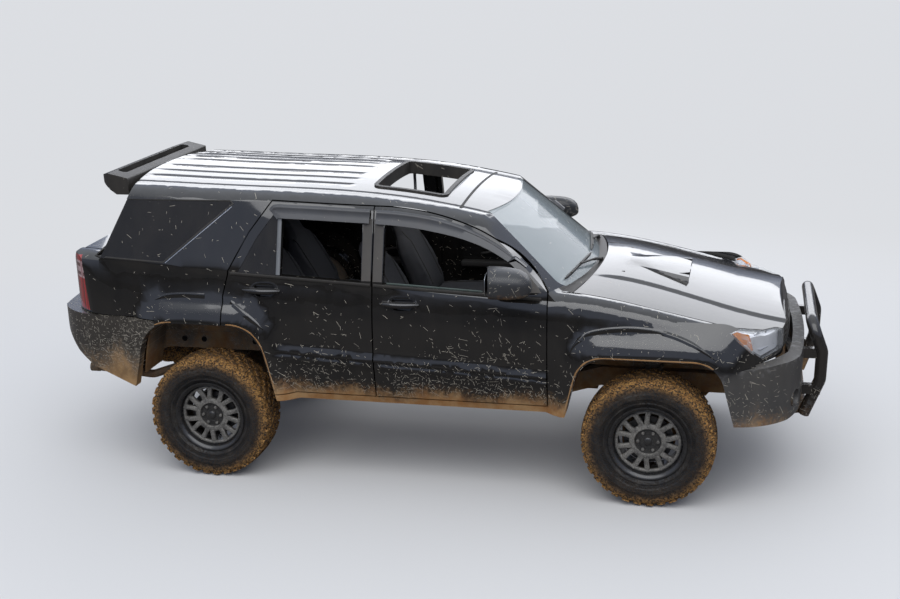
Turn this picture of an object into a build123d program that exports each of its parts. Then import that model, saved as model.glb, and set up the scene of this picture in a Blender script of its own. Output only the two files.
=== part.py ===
from build123d import *
from math import cos, hypot, radians, sin
import os

# Lifted five-door off-road wagon on a ladder frame. Millimetres.
# X points forward, Y to the left, Z up. The floor under the tyres is Z = 0, and
# the origin is under the middle of the overall length.

# overall sizes
wheelbase = 2790
front_overhang = 1030        # front axle to the front of the bull bar
rear_overhang = 1110         # rear axle to the back of the rear bumper
track = 1575

front_axle_x = (rear_overhang + wheelbase + front_overhang) / 2 - front_overhang
rear_axle_x = front_axle_x - wheelbase

# tyres and rims
tyre_radius = 405
tyre_width = 272
rim_lip_radius = 233
rim_width = 232
bead_radius = 216
barrel_radius = 196
hub_radius = 78
cap_radius = 34
fork_count = 7               # forked spokes
slot_half = 16               # long windows between the forks, at the rim
notch_half = 21              # short windows inside the forks, at the rim
lug_count = 6
lug_circle = 139.7

# body skin
waist_half_width = 903
sill_z = 562                 # underside of the rocker
door_low_z = 606
shell_wall = 72              # doors and lower sides, skin to inner trim
pillar_wall = 40             # window frames, pillars and roof
panel_gap = 8
glass_thickness = 6
glass_rebate = 3
glass_flange = 16
flare_half_width = 948

# cuts seen from the side
a_cut_x = front_axle_x - 603
b_cut_x = (a_cut_x + rear_axle_x) / 2 + 29
c_cut_x = rear_axle_x + 155
belt_z = 1325                # window line at the middle pillar
belt_slope = 0.05            # it rises towards the back
bumper_top_z = 915
cabin_floor_z = 640
cargo_floor_z = 880

# joints
steer_pivot_y = 690
running_gap = 6              # between a turning wheel and its hub

left, right = 1, -1
os.makedirs("parts", exist_ok=True)


def save(part, name):
    part.label = name
    export_step(part, f"parts/{name}.step")


def ahead(distance):
    """X of a station measured forward from the front axle."""
    return front_axle_x + distance


def rear(distance):
    """X of a station measured forward from the rear axle."""
    return rear_axle_x + distance


def belt_at(x):
    return belt_z + (b_cut_x - x) * belt_slope


def on_side(part, side):
    """The right-hand part as made, or its mirror image for the left side."""
    return part if side == right else mirror(part, Plane.XZ)


def cut_block(sketch, near, far, side=right):
    """A side outline (X, Z) made into a block from one half width to another."""
    with BuildPart() as block:
        with BuildSketch(Plane.XZ.offset(near)):
            add(sketch)
        extrude(amount=far - near)
    return on_side(block.part, side)


def outline(points, radii=0):
    """A face through points, its corners rounded by one radius or one each."""
    with BuildSketch() as face:
        with BuildLine():
            Polyline(*points, close=True)
        make_face()
        if radii:
            fillet(face.vertices(), radii)
    return face.sketch


# Lower body: x, sill half width, shoulder half width, shoulder z, top edge half
# width, top edge z, crown z. The same eight edges join every section.
lower_stations = [
    (ahead(900), 860, 846, 985, 720, 1030, 1075),
    (ahead(440), 868, 850, 1055, 735, 1102, 1160),
    (ahead(-20), 876, 862, 1152, 752, 1206, 1264),
    (ahead(-480), 876, 866, 1232, 745, 1276, 1322),
]
lower_tail = (rear(-1020), 862, 848, 1432, 686, 1456, 1470)
# Glasshouse: x, belt half width, belt z, rail half width, rail z, roof edge half
# width, roof edge z, crown z
upper_stations = [
    (ahead(-280), 850, 1230, 692, 1520, 540, 1562, 1590),
    (ahead(-955), 862, 1285, 716, 1655, 562, 1695, 1721),
    (b_cut_x + 40, 866, 1322, 735, 1757, 596, 1802, 1834),
    (rear(485), 866, 1358, 735, 1788, 606, 1836, 1868),
    (rear(-190), 862, 1392, 730, 1804, 602, 1854, 1886),
    (rear(-865), 846, 1425, 716, 1808, 588, 1858, 1890),
]


# the glasshouse goes on down inside the lower body: how far in, how far down
belt_foot = (16, 60)


def lower_section(row, inset):
    x, sill_y, shoulder_y, shoulder_z, top_y, top_z, crown_z = row
    low = sill_z + inset
    with BuildSketch(Plane.YZ.offset(x)) as section:
        with BuildLine():
            for s in (left, right):
                foot = (s * (sill_y - inset), low)
                waist = (s * (waist_half_width - inset), (sill_z + shoulder_z) / 2)
                shoulder = (s * (shoulder_y - inset), shoulder_z)
                top = (s * (top_y - inset), top_z - inset)
                round_over = 0.14 * hypot(shoulder[0] - top[0], shoulder[1] - top[1])
                middle = (
                    (shoulder[0] + top[0]) / 2 + s * round_over,
                    (shoulder[1] + top[1]) / 2 + round_over,
                )
                Line((0, low), foot)
                ThreePointArc(foot, waist, shoulder)
                ThreePointArc(shoulder, middle, top)
            edge = (top_y - inset, top_z - inset)
            ThreePointArc(edge, (0, crown_z - inset), (-edge[0], edge[1]))
        make_face()
    return section.sketch


def lower_form(inset):
    """The body below the belt, its skin moved inwards by inset."""
    with BuildPart() as form:
        loft([lower_section(row, inset) for row in lower_stations])
        loft([lower_section(row, inset) for row in (lower_stations[-1], lower_tail)])
    return form.part


def upper_form(inset):
    """The glasshouse, its skin moved inwards by inset."""
    sections = []
    for x, belt_y, low_z, rail_y, rail_z, edge_y, edge_z, crown_z in upper_stations:
        base_z = low_z - belt_foot[1]
        with BuildSketch(Plane.YZ.offset(x)) as section:
            with BuildLine():
                for s in (left, right):
                    base = (s * (belt_y - belt_foot[0] - inset), base_z)
                    belt = (s * (belt_y - inset), low_z)
                    rail = (s * (rail_y - inset), rail_z - inset * 0.3)
                    edge = (s * (edge_y - inset * 0.6), edge_z - inset)
                    Line((0, base_z), base)
                    Line(base, belt)
                    Line(belt, rail)
                    ThreePointArc(
                        rail, ((rail[0] + edge[0]) / 2 + s * 12, (rail[1] + edge[1]) / 2 + 14), edge
                    )
                ThreePointArc(
                    (edge_y - inset * 0.6, edge_z - inset),
                    (0, crown_z - inset),
                    (inset * 0.6 - edge_y, edge_z - inset),
                )
            make_face()
        sections.append(section.sketch)
    with BuildPart() as form:
        loft(sections)
    return form.part


# the windscreen and the tailgate glass lie on slanting round faces
screen_radius = 1920
screen_foot = (ahead(-388), 1283)
screen_head = (ahead(-962), 1746)
tail_radius = 2700
tail_foot = (rear(-812), 1440)
tail_head = (rear(-556), 1890)


def slanted_drum(foot, head, radius, inset):
    """Everything behind, or for a minus radius ahead of, a slanting bowed screen."""
    run, rise = head[0] - foot[0], head[1] - foot[1]
    slope = hypot(run, rise)
    with BuildPart() as drum:
        with BuildSketch(Plane.XY.offset(foot[1])):
            with Locations((foot[0] - radius, 0)):
                Circle(abs(radius) - inset * slope / rise)
        extrude(amount=2 * slope, dir=(run, 0, rise), both=True)
    return drum.part


def plan_block(inset):
    """The body's outline from above, with its bowed ends and round corners."""
    nose, tail = ahead(815) - inset, rear(-985) + inset
    with BuildPart() as block:
        with BuildSketch(Plane.XY.offset(400)):
            with BuildLine():
                corner = (nose - 62, 590 - inset * 0.8)
                ThreePointArc(corner, (nose, 0), (corner[0], -corner[1]))
                for s in (left, right):
                    flank = (nose - 560, s * (912 - inset))
                    ThreePointArc((corner[0], s * corner[1]), (nose - 190, s * (775 - inset)), flank)
                    Line(flank, (nose - 900, s * (1000 - inset)))
                    Line((nose - 900, s * (1000 - inset)), (tail + 800, s * (1000 - inset)))
                    haunch = (tail + 420, s * (915 - inset))
                    Line((tail + 800, s * (1000 - inset)), haunch)
                    ThreePointArc(
                        haunch, (tail + 175, s * (850 - inset)), (tail + 45, s * (690 - inset))
                    )
                ThreePointArc((tail + 45, 690 - inset), (tail, 0), (tail + 45, inset - 690))
            make_face()
        extrude(amount=1800)
    return block.part


def end_block(inset):
    """The lower body's outline from the side: nose, and the tailgate's bulge."""
    nose, tail = ahead(815) - inset, rear(-985) + inset
    with BuildPart() as block:
        with BuildSketch(Plane.XZ):
            with BuildLine():
                Polyline((tail + 240, 1600), (nose + 90, 1600), (nose + 90, 1330), (nose - 75, 1100))
                ThreePointArc((nose - 75, 1100), (nose - 18, 1040), (nose, 950))
                Polyline((nose, 950), (nose, 400), (tail + 18, 400), (tail + 18, 1000))
                ThreePointArc((tail + 18, 1000), (tail, 1170), (tail + 110, 1445))
                Line((tail + 110, 1445), (tail + 240, 1600))
            make_face()
        extrude(amount=1200, both=True)
    return block.part


def body_form(inset, wall):
    """Lower body and glasshouse as one solid, drawn in by inset and by wall."""
    lower = lower_form(inset)
    upper = upper_form(wall)
    with BuildPart() as low:
        add(lower)
        add(plan_block(inset), mode=Mode.INTERSECT)
        add(end_block(inset), mode=Mode.INTERSECT)
    with BuildPart() as high:
        add(upper)
        add(slanted_drum(screen_foot, screen_head, screen_radius, wall), mode=Mode.INTERSECT)
        add(slanted_drum(tail_foot, tail_head, -tail_radius, wall), mode=Mode.INTERSECT)
    return low.part, high.part


# wheel openings from the side: axle x, half width at the foot, half width at the
# shoulders, top z, shoulder radius
arch_rows = {
    "front": (ahead(0), 500, 392, 938, 190),
    "rear": (rear(0), 498, 372, 1042, 240),
}
# the flare's outline at three half widths: y, spread and rise from the opening
flare_rows = [
    (waist_half_width - shell_wall, 172, 212),
    (flare_half_width - 22, 62, 82),
    (flare_half_width, 22, 26),
]


def arch_face(name, grow=0, rise=0):
    """The side outline of a wheel opening, grown sideways and upwards."""
    x, foot, shoulder, top, corner = arch_rows[name]
    low_z, knee_z = 380, 520
    points = [
        (x - foot - grow, low_z),
        (x - foot - grow, knee_z),
        (x - shoulder - grow, top + rise),
        (x + shoulder + grow, top + rise),
        (x + foot + grow, knee_z),
        (x + foot + grow, low_z),
    ]
    with BuildSketch() as face:
        with BuildLine():
            Polyline(*points, close=True)
        make_face()
        fillet(face.vertices().group_by(Axis.Y)[-1], corner)
    return face.sketch


def flare(name):
    """The swollen lip over a wheel: its wide crease runs in to the opening."""
    with BuildPart() as lip:
        for y, spread, rise in flare_rows:
            with BuildSketch(Plane.XZ.offset(y)):
                add(arch_face(name, spread, rise))
        loft(ruled=True)
        split(bisect_by=Plane.XY.offset(sill_z), keep=Keep.TOP)
    return lip.part


# Every outline below is seen from the side, as (X, Z).
door_top_rear_z = 1793


def front_door_face(gap=0):
    with BuildSketch() as face:
        with BuildLine():
            Polyline((b_cut_x, 1769), (b_cut_x, door_low_z), (a_cut_x, door_low_z), (a_cut_x, 1300))
            ThreePointArc((a_cut_x, 1300), (ahead(-838), 1531), (ahead(-1150), 1688))
            ThreePointArc((ahead(-1150), 1688), (ahead(-1400), 1746), (b_cut_x, 1769))
        make_face()
        if gap:
            offset(amount=gap, kind=Kind.INTERSECTION)
    return face.sketch


def rear_door_face(gap=0):
    points = [
        (b_cut_x - panel_gap, door_low_z),
        (b_cut_x - panel_gap, 1770),
        (rear(467), door_top_rear_z),
        (rear(324), 1606),
        (rear(196), 1376),
        (c_cut_x, 1215),
        (c_cut_x, door_low_z),
    ]
    with BuildSketch() as face:
        add(outline(points))
        if gap:
            offset(amount=gap, kind=Kind.INTERSECTION)
    return face.sketch


door_faces = {"front": front_door_face, "rear": rear_door_face}
frame_width = 56             # window frame seen from the side
divider_x = rear(520)        # bar between the wound and the fixed rear glass
divider_width = 24


def window_face(name, shrink=0):
    """The open window of a door, or the fixed pane at the back of the rear one."""
    limits = {
        "front": (b_cut_x + 64, ahead(-775)),
        "rear": (divider_x + divider_width / 2, b_cut_x - panel_gap - 64),
        "vent": (rear(100), divider_x - divider_width / 2),
    }
    back, front = limits[name]
    door = front_door_face if name == "front" else rear_door_face
    with BuildSketch() as face:
        add(door(-frame_width))
        with BuildSketch(mode=Mode.INTERSECT):
            with BuildLine():
                Polyline(
                    (back, belt_at(back)), (back, 1900), (front, 1900), (front, belt_at(front)), close=True
                )
            make_face()
        if shrink:
            offset(amount=-shrink, kind=Kind.INTERSECTION)
    return face.sketch


quarter_points = [
    (rear(-729), 1431),
    (rear(-535), 1789),
    (rear(190), 1794),
    (rear(214), 1778),
    (rear(-243), 1408),
]


quarter_near = 690


def quarter_face(shrink=0):
    with BuildSketch() as face:
        add(outline(quarter_points, 12))
        if shrink:
            offset(amount=-shrink, kind=Kind.INTERSECTION)
    return face.sketch


# outlines seen from the front or the back, as (Y, Z)
screen_points = [(-700, 1292), (-540, 1712), (540, 1712), (700, 1292)]
tailgate_points = [
    (-646, 1090), (-672, 1300), (-674, 1440), (-560, 1880), (-540, 2000),
    (540, 2000), (560, 1880), (674, 1440), (672, 1300), (646, 1090),
]
tail_glass_points = [(-596, 1480), (-500, 1822), (500, 1822), (596, 1480)]
tailgate_front_x = rear(-549)


def cross_block(points, radius, low_x, high_x, grow=0):
    """An outline seen along X made into a block between two stations."""
    with BuildPart() as block:
        with BuildSketch(Plane.YZ.offset(low_x)):
            add(outline(points, radius))
            if grow:
                offset(amount=grow, kind=Kind.INTERSECTION)
        extrude(amount=high_x - low_x)
    return block.part


# the hood seen from above, half of it: X, Y
hood_half = [(-462, 731), (0, 748), (470, 724), (640, 664), (712, 590), (900, 590)]


def hood_block(grow=0):
    back, side_y = ahead(hood_half[0][0]) - grow, hood_half[0][1] + grow
    with BuildPart() as block:
        with BuildSketch(Plane.XY.offset(1000)):
            with BuildLine():
                ThreePointArc((back, side_y), (ahead(-348) - grow, 0), (back, -side_y))
                for s in (left, right):
                    Polyline(
                        (back, s * side_y),
                        *[(ahead(x), s * (y + grow)) for x, y in hood_half[1:]],
                        (ahead(900), 0),
                    )
            make_face()
        extrude(amount=500)
        # the nose stays below the front edge
        with BuildSketch(Plane.XZ):
            with Locations((ahead(800), 1060 - grow)):
                Rectangle(230, 200, align=(Align.CENTER, Align.MAX))
        extrude(amount=900, both=True, mode=Mode.SUBTRACT)
    return block.part


lamp_points = [
    (ahead(452), 1100), (ahead(620), 1160), (ahead(900), 1160), (ahead(900), 955),
    (ahead(700), 940), (ahead(640), 926),
]
lamp_inner_y = 545
grille_half_width = 538
grille_low_z = bumper_top_z + 5
grille_high_z = 1055

bumper_joint = [
    (ahead(280), 914), (ahead(505), 888), (ahead(700), 905), (ahead(1100), bumper_top_z + 2),
    (ahead(1100), 300), (ahead(280), 300),
]
rear_joint = [
    (rear(-1300), 1074), (rear(-770), 1074), (rear(-300), 1058), (rear(-300), 300), (rear(-1300), 300),
]
tail_lamp_points = [(rear(-813), 1440), (rear(-778), 1082), (rear(-1200), 1082), (rear(-1200), 1440)]

# body skins at four depths: outside, inner trim, and the two faces of the jambs
lower_skin, upper_skin = body_form(0, 0)
lower_cabin, upper_cabin = body_form(shell_wall, pillar_wall)
jamb_gap = shell_wall + panel_gap
lower_jamb, upper_jamb = body_form(jamb_gap, pillar_wall + panel_gap)
lower_core, upper_core = body_form(jamb_gap + 34, pillar_wall + panel_gap + 24)
upper_seat = body_form(glass_rebate, glass_rebate)[1]
rebate = glass_rebate + glass_thickness
upper_rebate = body_form(rebate, rebate)[1]

with BuildPart() as skin_form:
    add(lower_skin)
    add(upper_skin)
    for wheel in arch_rows:
        for side in (left, right):
            add(on_side(flare(wheel), side))
with BuildPart() as cabin_form:
    add(lower_cabin)
    add(upper_cabin)
with BuildPart() as shell_form:
    add(skin_form.part)
    add(cabin_form.part, mode=Mode.SUBTRACT)
    for wheel in arch_rows:
        for side in (left, right):
            add(cut_block(arch_face(wheel), 430, 1100, side), mode=Mode.SUBTRACT)
    with BuildSketch(Plane.XY.offset(sill_z - 60)):
        Rectangle(6000, 1600)
    extrude(amount=150, mode=Mode.SUBTRACT)
shell = shell_form.part

screen_prism = cross_block(screen_points, 40, ahead(-1300), ahead(0))
screen_hole = cross_block(screen_points, 40, ahead(-1300), ahead(0), -glass_flange)
tail_glass_prism = cross_block(tail_glass_points, 44, rear(-1000), rear(-400))
tail_glass_hole = cross_block(tail_glass_points, 44, rear(-1000), rear(-400), -glass_flange)
tailgate_block = cross_block(tailgate_points, 0, rear(-1200), tailgate_front_x)
tailgate_gap = cross_block(tailgate_points, 0, rear(-1200), tailgate_front_x + panel_gap, panel_gap)


roof_half_width = 598
roof_low_z = 1694
door_reach = roof_half_width + 42    # how far in from the side the doors are cut
sunroof_back, sunroof_front, sunroof_half = ahead(-1770), ahead(-1290), 430
with BuildPart() as roof_region:
    with Locations((front_axle_x, 0, roof_low_z)):
        Box(2 * wheelbase, 2 * roof_half_width, 400, align=(Align.MAX, Align.CENTER, Align.MIN))


def sunroof_outline(grow=0):
    with BuildSketch() as face:
        with Locations(((sunroof_back + sunroof_front) / 2, 0)):
            RectangleRounded(
                sunroof_front - sunroof_back + 2 * grow, 2 * (sunroof_half + grow), 55 + grow
            )
    return face.sketch


with BuildPart() as roof_panel:
    add(shell)
    add(roof_region.part, mode=Mode.INTERSECT)
    add(tailgate_gap, mode=Mode.SUBTRACT)
    add(screen_hole, mode=Mode.SUBTRACT)
    add(screen_prism - upper_rebate, mode=Mode.SUBTRACT)
    with BuildSketch(Plane.XY.offset(1600)):
        add(sunroof_outline())
    extrude(amount=400, mode=Mode.SUBTRACT)
save(roof_panel.part, "roof_panel")

# one raised seal round the sunroof with two rails behind it, and the pane slid
# back between the rails under the roof
seal_width, seal_proud = 26, 9
pane_back, pane_z, pane_half = ahead(-2240), 1766, 404
raised_skin = upper_form(-seal_proud)
with BuildPart() as pane_rails:
    for s in (left, right):
        with Locations(((pane_back + sunroof_back) / 2, s * (pane_half + 8), pane_z - 8)):
            Box(
                sunroof_back - pane_back, 16, 200,
                align=(Align.CENTER, Align.CENTER, Align.MIN),
            )
with BuildPart() as sunroof_glass:
    with Locations((pane_back, 0, pane_z)):
        Box(440, 2 * pane_half - 1, glass_thickness, align=(Align.MIN, Align.CENTER, Align.MIN))
save(sunroof_glass.part, "sunroof_glass")
with BuildPart() as sunroof_seal:
    with BuildSketch(Plane.XY.offset(1600)):
        add(sunroof_outline())
        add(sunroof_outline(-seal_width), mode=Mode.SUBTRACT)
    extrude(amount=400)
    add(raised_skin, mode=Mode.INTERSECT)
    add(upper_core, mode=Mode.SUBTRACT)
    add(pane_rails.part & upper_cabin)
save(sunroof_seal.part, "sunroof_seal")

# Body side: pillars, rail, quarter and rocker in one pressing, with the jambs
# that the doors close against.
with BuildSketch() as doors_hole:
    for door_face in door_faces.values():
        add(door_face(panel_gap))
with BuildSketch() as jamb_ring:
    for door_face in door_faces.values():
        add(door_face(34))
    for door_face in door_faces.values():
        add(door_face(-26), mode=Mode.SUBTRACT)
doors_out = cut_block(doors_hole.sketch, door_reach, 1200)
inner_sill_y = 758
belt_web_z = 1240            # the jambs are solid webs below this, down to the shoulder
arch_clear = 18
with BuildPart() as upper_hollow:
    add(upper_core)
    with Locations((0, 0, belt_web_z)):
        Box(6000, 3000, 900, align=(Align.CENTER, Align.CENTER, Align.MIN), mode=Mode.INTERSECT)
with BuildPart() as jamb:
    add(cut_block(jamb_ring.sketch, door_reach, 1100))
    # the jamb goes on round the wheel arch to the sill
    add(cut_block(arch_face("rear", arch_clear + 36, arch_clear + 36), inner_sill_y, 1100))
    add(cabin_form.part, mode=Mode.INTERSECT)
    add(lower_core, mode=Mode.SUBTRACT)
    add(upper_hollow.part, mode=Mode.SUBTRACT)
    add((doors_out - lower_jamb) - upper_jamb, mode=Mode.SUBTRACT)
    for near, low, high in ((inner_sill_y, 500, 1000), (inner_sill_y - 18, 1000, 1300)):
        with Locations((0, 0, low)):
            Box(
                6000, 2 * near, high - low,
                align=(Align.CENTER, Align.CENTER, Align.MIN), mode=Mode.SUBTRACT,
            )
    # the foot of the windscreen pillar stays clear of the glass
    with Locations((ahead(-735), 0, 1300)):
        Box(300, 2 * inner_sill_y, 110, align=(Align.MIN, Align.CENTER, Align.MIN), mode=Mode.SUBTRACT)
    # inner sill along the floor, and the plate under it
    for width, height in ((36, 138), (70, 28)):
        with Locations(((a_cut_x + rear(520)) / 2, -inner_sill_y, sill_z)):
            Box(a_cut_x - rear(520), width, height, align=(Align.CENTER, Align.MAX, Align.MIN))
    add(cut_block(arch_face("rear", arch_clear, arch_clear), 430, 1100), mode=Mode.SUBTRACT)
fender_roof_z = 1300
with BuildPart() as side_region:
    with Locations((0, -430, 1100)):
        Box(6000, 1600, 1800, align=(Align.CENTER, Align.MAX, Align.CENTER))
    with Locations((a_cut_x + panel_gap, 0, fender_roof_z)):
        Box(3000, 3000, 1200, align=(Align.MIN, Align.CENTER, Align.MAX), mode=Mode.SUBTRACT)
with BuildPart() as body_side:
    add(shell)
    add(side_region.part, mode=Mode.INTERSECT)
    add(roof_region.part, mode=Mode.SUBTRACT)
    add(doors_out, mode=Mode.SUBTRACT)
    add(tailgate_gap, mode=Mode.SUBTRACT)
    add(screen_hole, mode=Mode.SUBTRACT)
    add(screen_prism - upper_rebate, mode=Mode.SUBTRACT)
    add(cut_block(outline(rear_joint), 200, 1200), mode=Mode.SUBTRACT)
    add(cut_block(outline(tail_lamp_points), 500, 1200), mode=Mode.SUBTRACT)
    add(cut_block(quarter_face(glass_flange), quarter_near, 1200), mode=Mode.SUBTRACT)
    add(cut_block(quarter_face(), quarter_near, 1200) - upper_rebate, mode=Mode.SUBTRACT)
    add(jamb.part)

handle_rows = {"front": (ahead(-1500), 1205), "rear": (rear(408), 1260)}
handle_length = 236
handle_y = 876               # skin half width at the handles
door_lip = 12                # the frame behind the skin is smaller by this all round
frame_core = upper_form(pillar_wall + 2)


def frame_step(name):
    """What is cut from behind a window frame's edges so that it swings clear."""
    with BuildPart() as step:
        add(cut_block(door_faces[name](4), 400, 1200))
        add(cut_block(door_faces[name](-door_lip), 300, 1300), mode=Mode.SUBTRACT)
        add(upper_rebate, mode=Mode.INTERSECT)
        with Locations((0, 0, belt_z + 10)):
            Box(6000, 3000, 900, align=(Align.CENTER, Align.CENTER, Align.MIN), mode=Mode.INTERSECT)
    return step.part


def door_panel(name):
    """A whole door: skin, frame and trim in one thickness, with its pull handle."""
    handle_x, handle_z = handle_rows[name]
    with BuildPart() as door:
        add(shell)
        add(cut_block(door_faces[name](), door_reach, 1200), mode=Mode.INTERSECT)
        add(cut_block(window_face(name), 400, 1200), mode=Mode.SUBTRACT)
        if name == "rear":
            add(cut_block(window_face("vent", glass_flange), 400, 1200), mode=Mode.SUBTRACT)
            add(cut_block(window_face("vent"), 400, 1200) - upper_rebate, mode=Mode.SUBTRACT)
        add(frame_core, mode=Mode.SUBTRACT)
        add(frame_step(name), mode=Mode.SUBTRACT)
        # finger recess
        with BuildSketch(Plane.XZ.offset(handle_y - 24)):
            with Locations((handle_x + 20, handle_z)):
                SlotOverall(handle_length * 0.62, 78)
        extrude(amount=80, mode=Mode.SUBTRACT)
        # pull bar over it
        with BuildSketch(Plane.XZ.offset(handle_y - 14)):
            with Locations((handle_x, handle_z)):
                SlotOverall(handle_length, 34)
        extrude(amount=22)
    return door.part


with BuildPart() as fender:
    add(shell)
    with Locations((a_cut_x + panel_gap, -100, 0)):
        Box(3000, 2000, 3000, align=(Align.MIN, Align.MAX, Align.CENTER), mode=Mode.INTERSECT)
    add(hood_block(panel_gap), mode=Mode.SUBTRACT)
    with Locations((a_cut_x - 100, 0, fender_roof_z)):
        Box(3000, 3000, 900, align=(Align.MIN, Align.CENTER, Align.MIN), mode=Mode.SUBTRACT)
    with Locations((a_cut_x - 100, 0, 980)):
        Box(700, 2 * 727, 900, align=(Align.MIN, Align.CENTER, Align.MIN), mode=Mode.SUBTRACT)
    add(cut_block(outline(bumper_joint), 0, 1200), mode=Mode.SUBTRACT)
    add(cut_block(outline(lamp_points), lamp_inner_y, 1200), mode=Mode.SUBTRACT)
    with Locations((ahead(600), 0, 900)):
        Box(600, 2 * lamp_inner_y, 400, align=(Align.MIN, Align.CENTER, Align.MIN), mode=Mode.SUBTRACT)

scoop_rows = [(-190, 110, 2), (0, 180, 26), (190, 235, 52)]
with BuildPart() as scoop:
    for x, half, high in scoop_rows:
        base = 1262 - 0.21 * (x + 20)
        with BuildSketch(Plane.YZ.offset(ahead(x))):
            with BuildLine():
                Polyline((half + 30, base - 60), (half, base + high - 12))
                ThreePointArc((half, base + high - 12), (0, base + high), (-half, base + high - 12))
                Polyline((-half, base + high - 12), (-half - 30, base - 60), (half + 30, base - 60))
            make_face()
    loft()
    with BuildSketch(Plane.YZ.offset(ahead(200))):
        with Locations((0, 1244)):
            RectangleRounded(400, 44, 18)
    extrude(amount=-110, mode=Mode.SUBTRACT)
with BuildPart() as hood:
    add(shell)
    add(hood_block(), mode=Mode.INTERSECT)
    add(scoop.part - lower_cabin)
    # the inside of the nose swings clear of the lamps
    with Locations((ahead(700), 0, 1066)):
        Box(70, 1500, 100, align=(Align.MAX, Align.CENTER, Align.MAX), mode=Mode.SUBTRACT)
save(hood.part, "hood")

with BuildPart() as cowl:
    add(shell)
    with Locations((a_cut_x + panel_gap, 0, 1150)):
        Box(500, 2 * 727, 400, align=(Align.MIN, Align.CENTER, Align.MIN), mode=Mode.INTERSECT)
    with Locations((ahead(-700), -1000, fender_roof_z), (ahead(-700), 1000, fender_roof_z)):
        Box(700, 1140, 300, align=(Align.MIN, Align.CENTER, Align.MIN), mode=Mode.SUBTRACT)
    add(hood_block(panel_gap), mode=Mode.SUBTRACT)
    add(screen_hole, mode=Mode.SUBTRACT)
    add(screen_prism - upper_rebate, mode=Mode.SUBTRACT)
save(cowl.part, "cowl")

with BuildPart() as lamp:
    add(shell)
    add(cut_block(outline(lamp_points), lamp_inner_y, 1200), mode=Mode.INTERSECT)
    add(hood_block(panel_gap), mode=Mode.SUBTRACT)
    add(cut_block(outline(bumper_joint), 0, 1200), mode=Mode.SUBTRACT)

with BuildPart() as windscreen:
    add(screen_prism)
    add(upper_seat, mode=Mode.INTERSECT)
    add(upper_rebate, mode=Mode.SUBTRACT)
save(windscreen.part, "windscreen")
with BuildPart() as quarter_glass:
    add(cut_block(quarter_face(), quarter_near, 1200))
    add(upper_seat, mode=Mode.INTERSECT)
    add(upper_rebate, mode=Mode.SUBTRACT)
with BuildPart() as vent_glass:
    add(cut_block(window_face("vent"), 400, 1200))
    add(upper_seat, mode=Mode.INTERSECT)
    add(upper_rebate, mode=Mode.SUBTRACT)
with BuildPart() as tailgate:
    add(shell)
    add(tailgate_block, mode=Mode.INTERSECT)
    add(tail_glass_hole, mode=Mode.SUBTRACT)
    add(tail_glass_prism - upper_rebate, mode=Mode.SUBTRACT)
save(tailgate.part, "tailgate")
with BuildPart() as tailgate_glass:
    add(tail_glass_prism)
    add(upper_seat, mode=Mode.INTERSECT)
    add(upper_rebate, mode=Mode.SUBTRACT)
save(tailgate_glass.part, "tailgate_glass")
with BuildPart() as tail_lamp:
    add(shell)
    add(cut_block(outline(tail_lamp_points), 500, 1200), mode=Mode.INTERSECT)
    add(tailgate_gap, mode=Mode.SUBTRACT)

def bumper_plan(tip, corner, flank, wide, wall=0):
    """A bumper from above: tip X, corner (X, Y), flank (X, Y), drawn in by wall."""
    inward = -wall if tip > corner[0] else wall
    with BuildSketch() as face:
        with BuildLine():
            corner_y = corner[1] - 0.8 * wall
            ThreePointArc(
                (corner[0] + inward, corner_y), (tip + inward, 0), (corner[0] + inward, -corner_y)
            )
            for s in (left, right):
                ThreePointArc(
                    (corner[0] + inward, s * corner_y),
                    (flank[0] + (corner[0] - flank[0]) * 0.52 + inward, s * (flank[1] - 62 - wall)),
                    (flank[0] + inward * 0.4, s * (flank[1] - wall)),
                )
                Line((flank[0] + inward * 0.4, s * (flank[1] - wall)), (wide[0], s * (wide[1] - wall)))
                Line((wide[0], s * (wide[1] - wall)), (wide[0], 0))
        make_face()
    return face.sketch


def bumper_cover(plans, profile, wheel):
    """A hollow bumper: two plan outlines, one inside the other, cut by a side profile."""
    outer_plan, inner_plan = plans
    with BuildPart() as cover:
        with BuildSketch(Plane.XY.offset(400)):
            add(outer_plan)
            add(inner_plan, mode=Mode.SUBTRACT)
        extrude(amount=900)
        with BuildSketch(Plane.XZ):
            add(outline(profile))
        extrude(amount=1500, both=True, mode=Mode.INTERSECT)
        for s in (left, right):
            add(cut_block(arch_face(wheel), 430, 1100, s), mode=Mode.SUBTRACT)
    return cover.part


bumper_wall = 68
front_plans = [
    bumper_plan(ahead(902), (ahead(866), 590), (ahead(505), 893), (ahead(290), 932), wall)
    for wall in (0, bumper_wall)
]
fog_y, fog_z, fog_radius = 648, 655, 52
with BuildPart() as front_bumper:
    add(
        bumper_cover(
            front_plans,
            [
                (ahead(296), bumper_top_z - 6), (ahead(505), bumper_top_z - 30),
                (ahead(740), bumper_top_z - 8), (ahead(960), bumper_top_z - 14),
                (ahead(960), 590), (ahead(800), 545), (ahead(480), 540), (ahead(296), 560),
            ],
            "front",
        )
    )
    for s in (left, right):
        with BuildSketch(Plane.YZ.offset(ahead(600))):
            with Locations((s * fog_y, fog_z)):
                Circle(fog_radius)
        extrude(amount=400, mode=Mode.SUBTRACT)
    # lower air intake
    with BuildSketch(Plane.YZ.offset(ahead(700))):
        with Locations((0, 690)):
            RectangleRounded(900, 120, 40)
    extrude(amount=400, mode=Mode.SUBTRACT)
save(front_bumper.part, "front_bumper")

fog_depth = 46
with BuildPart() as fog_lamps:
    for s in (left, right):
        with BuildSketch(Plane.YZ.offset(ahead(770))):
            with Locations((s * fog_y, fog_z)):
                Circle(fog_radius)
        extrude(amount=fog_depth)
save(fog_lamps.part, "fog_lamps")

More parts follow.
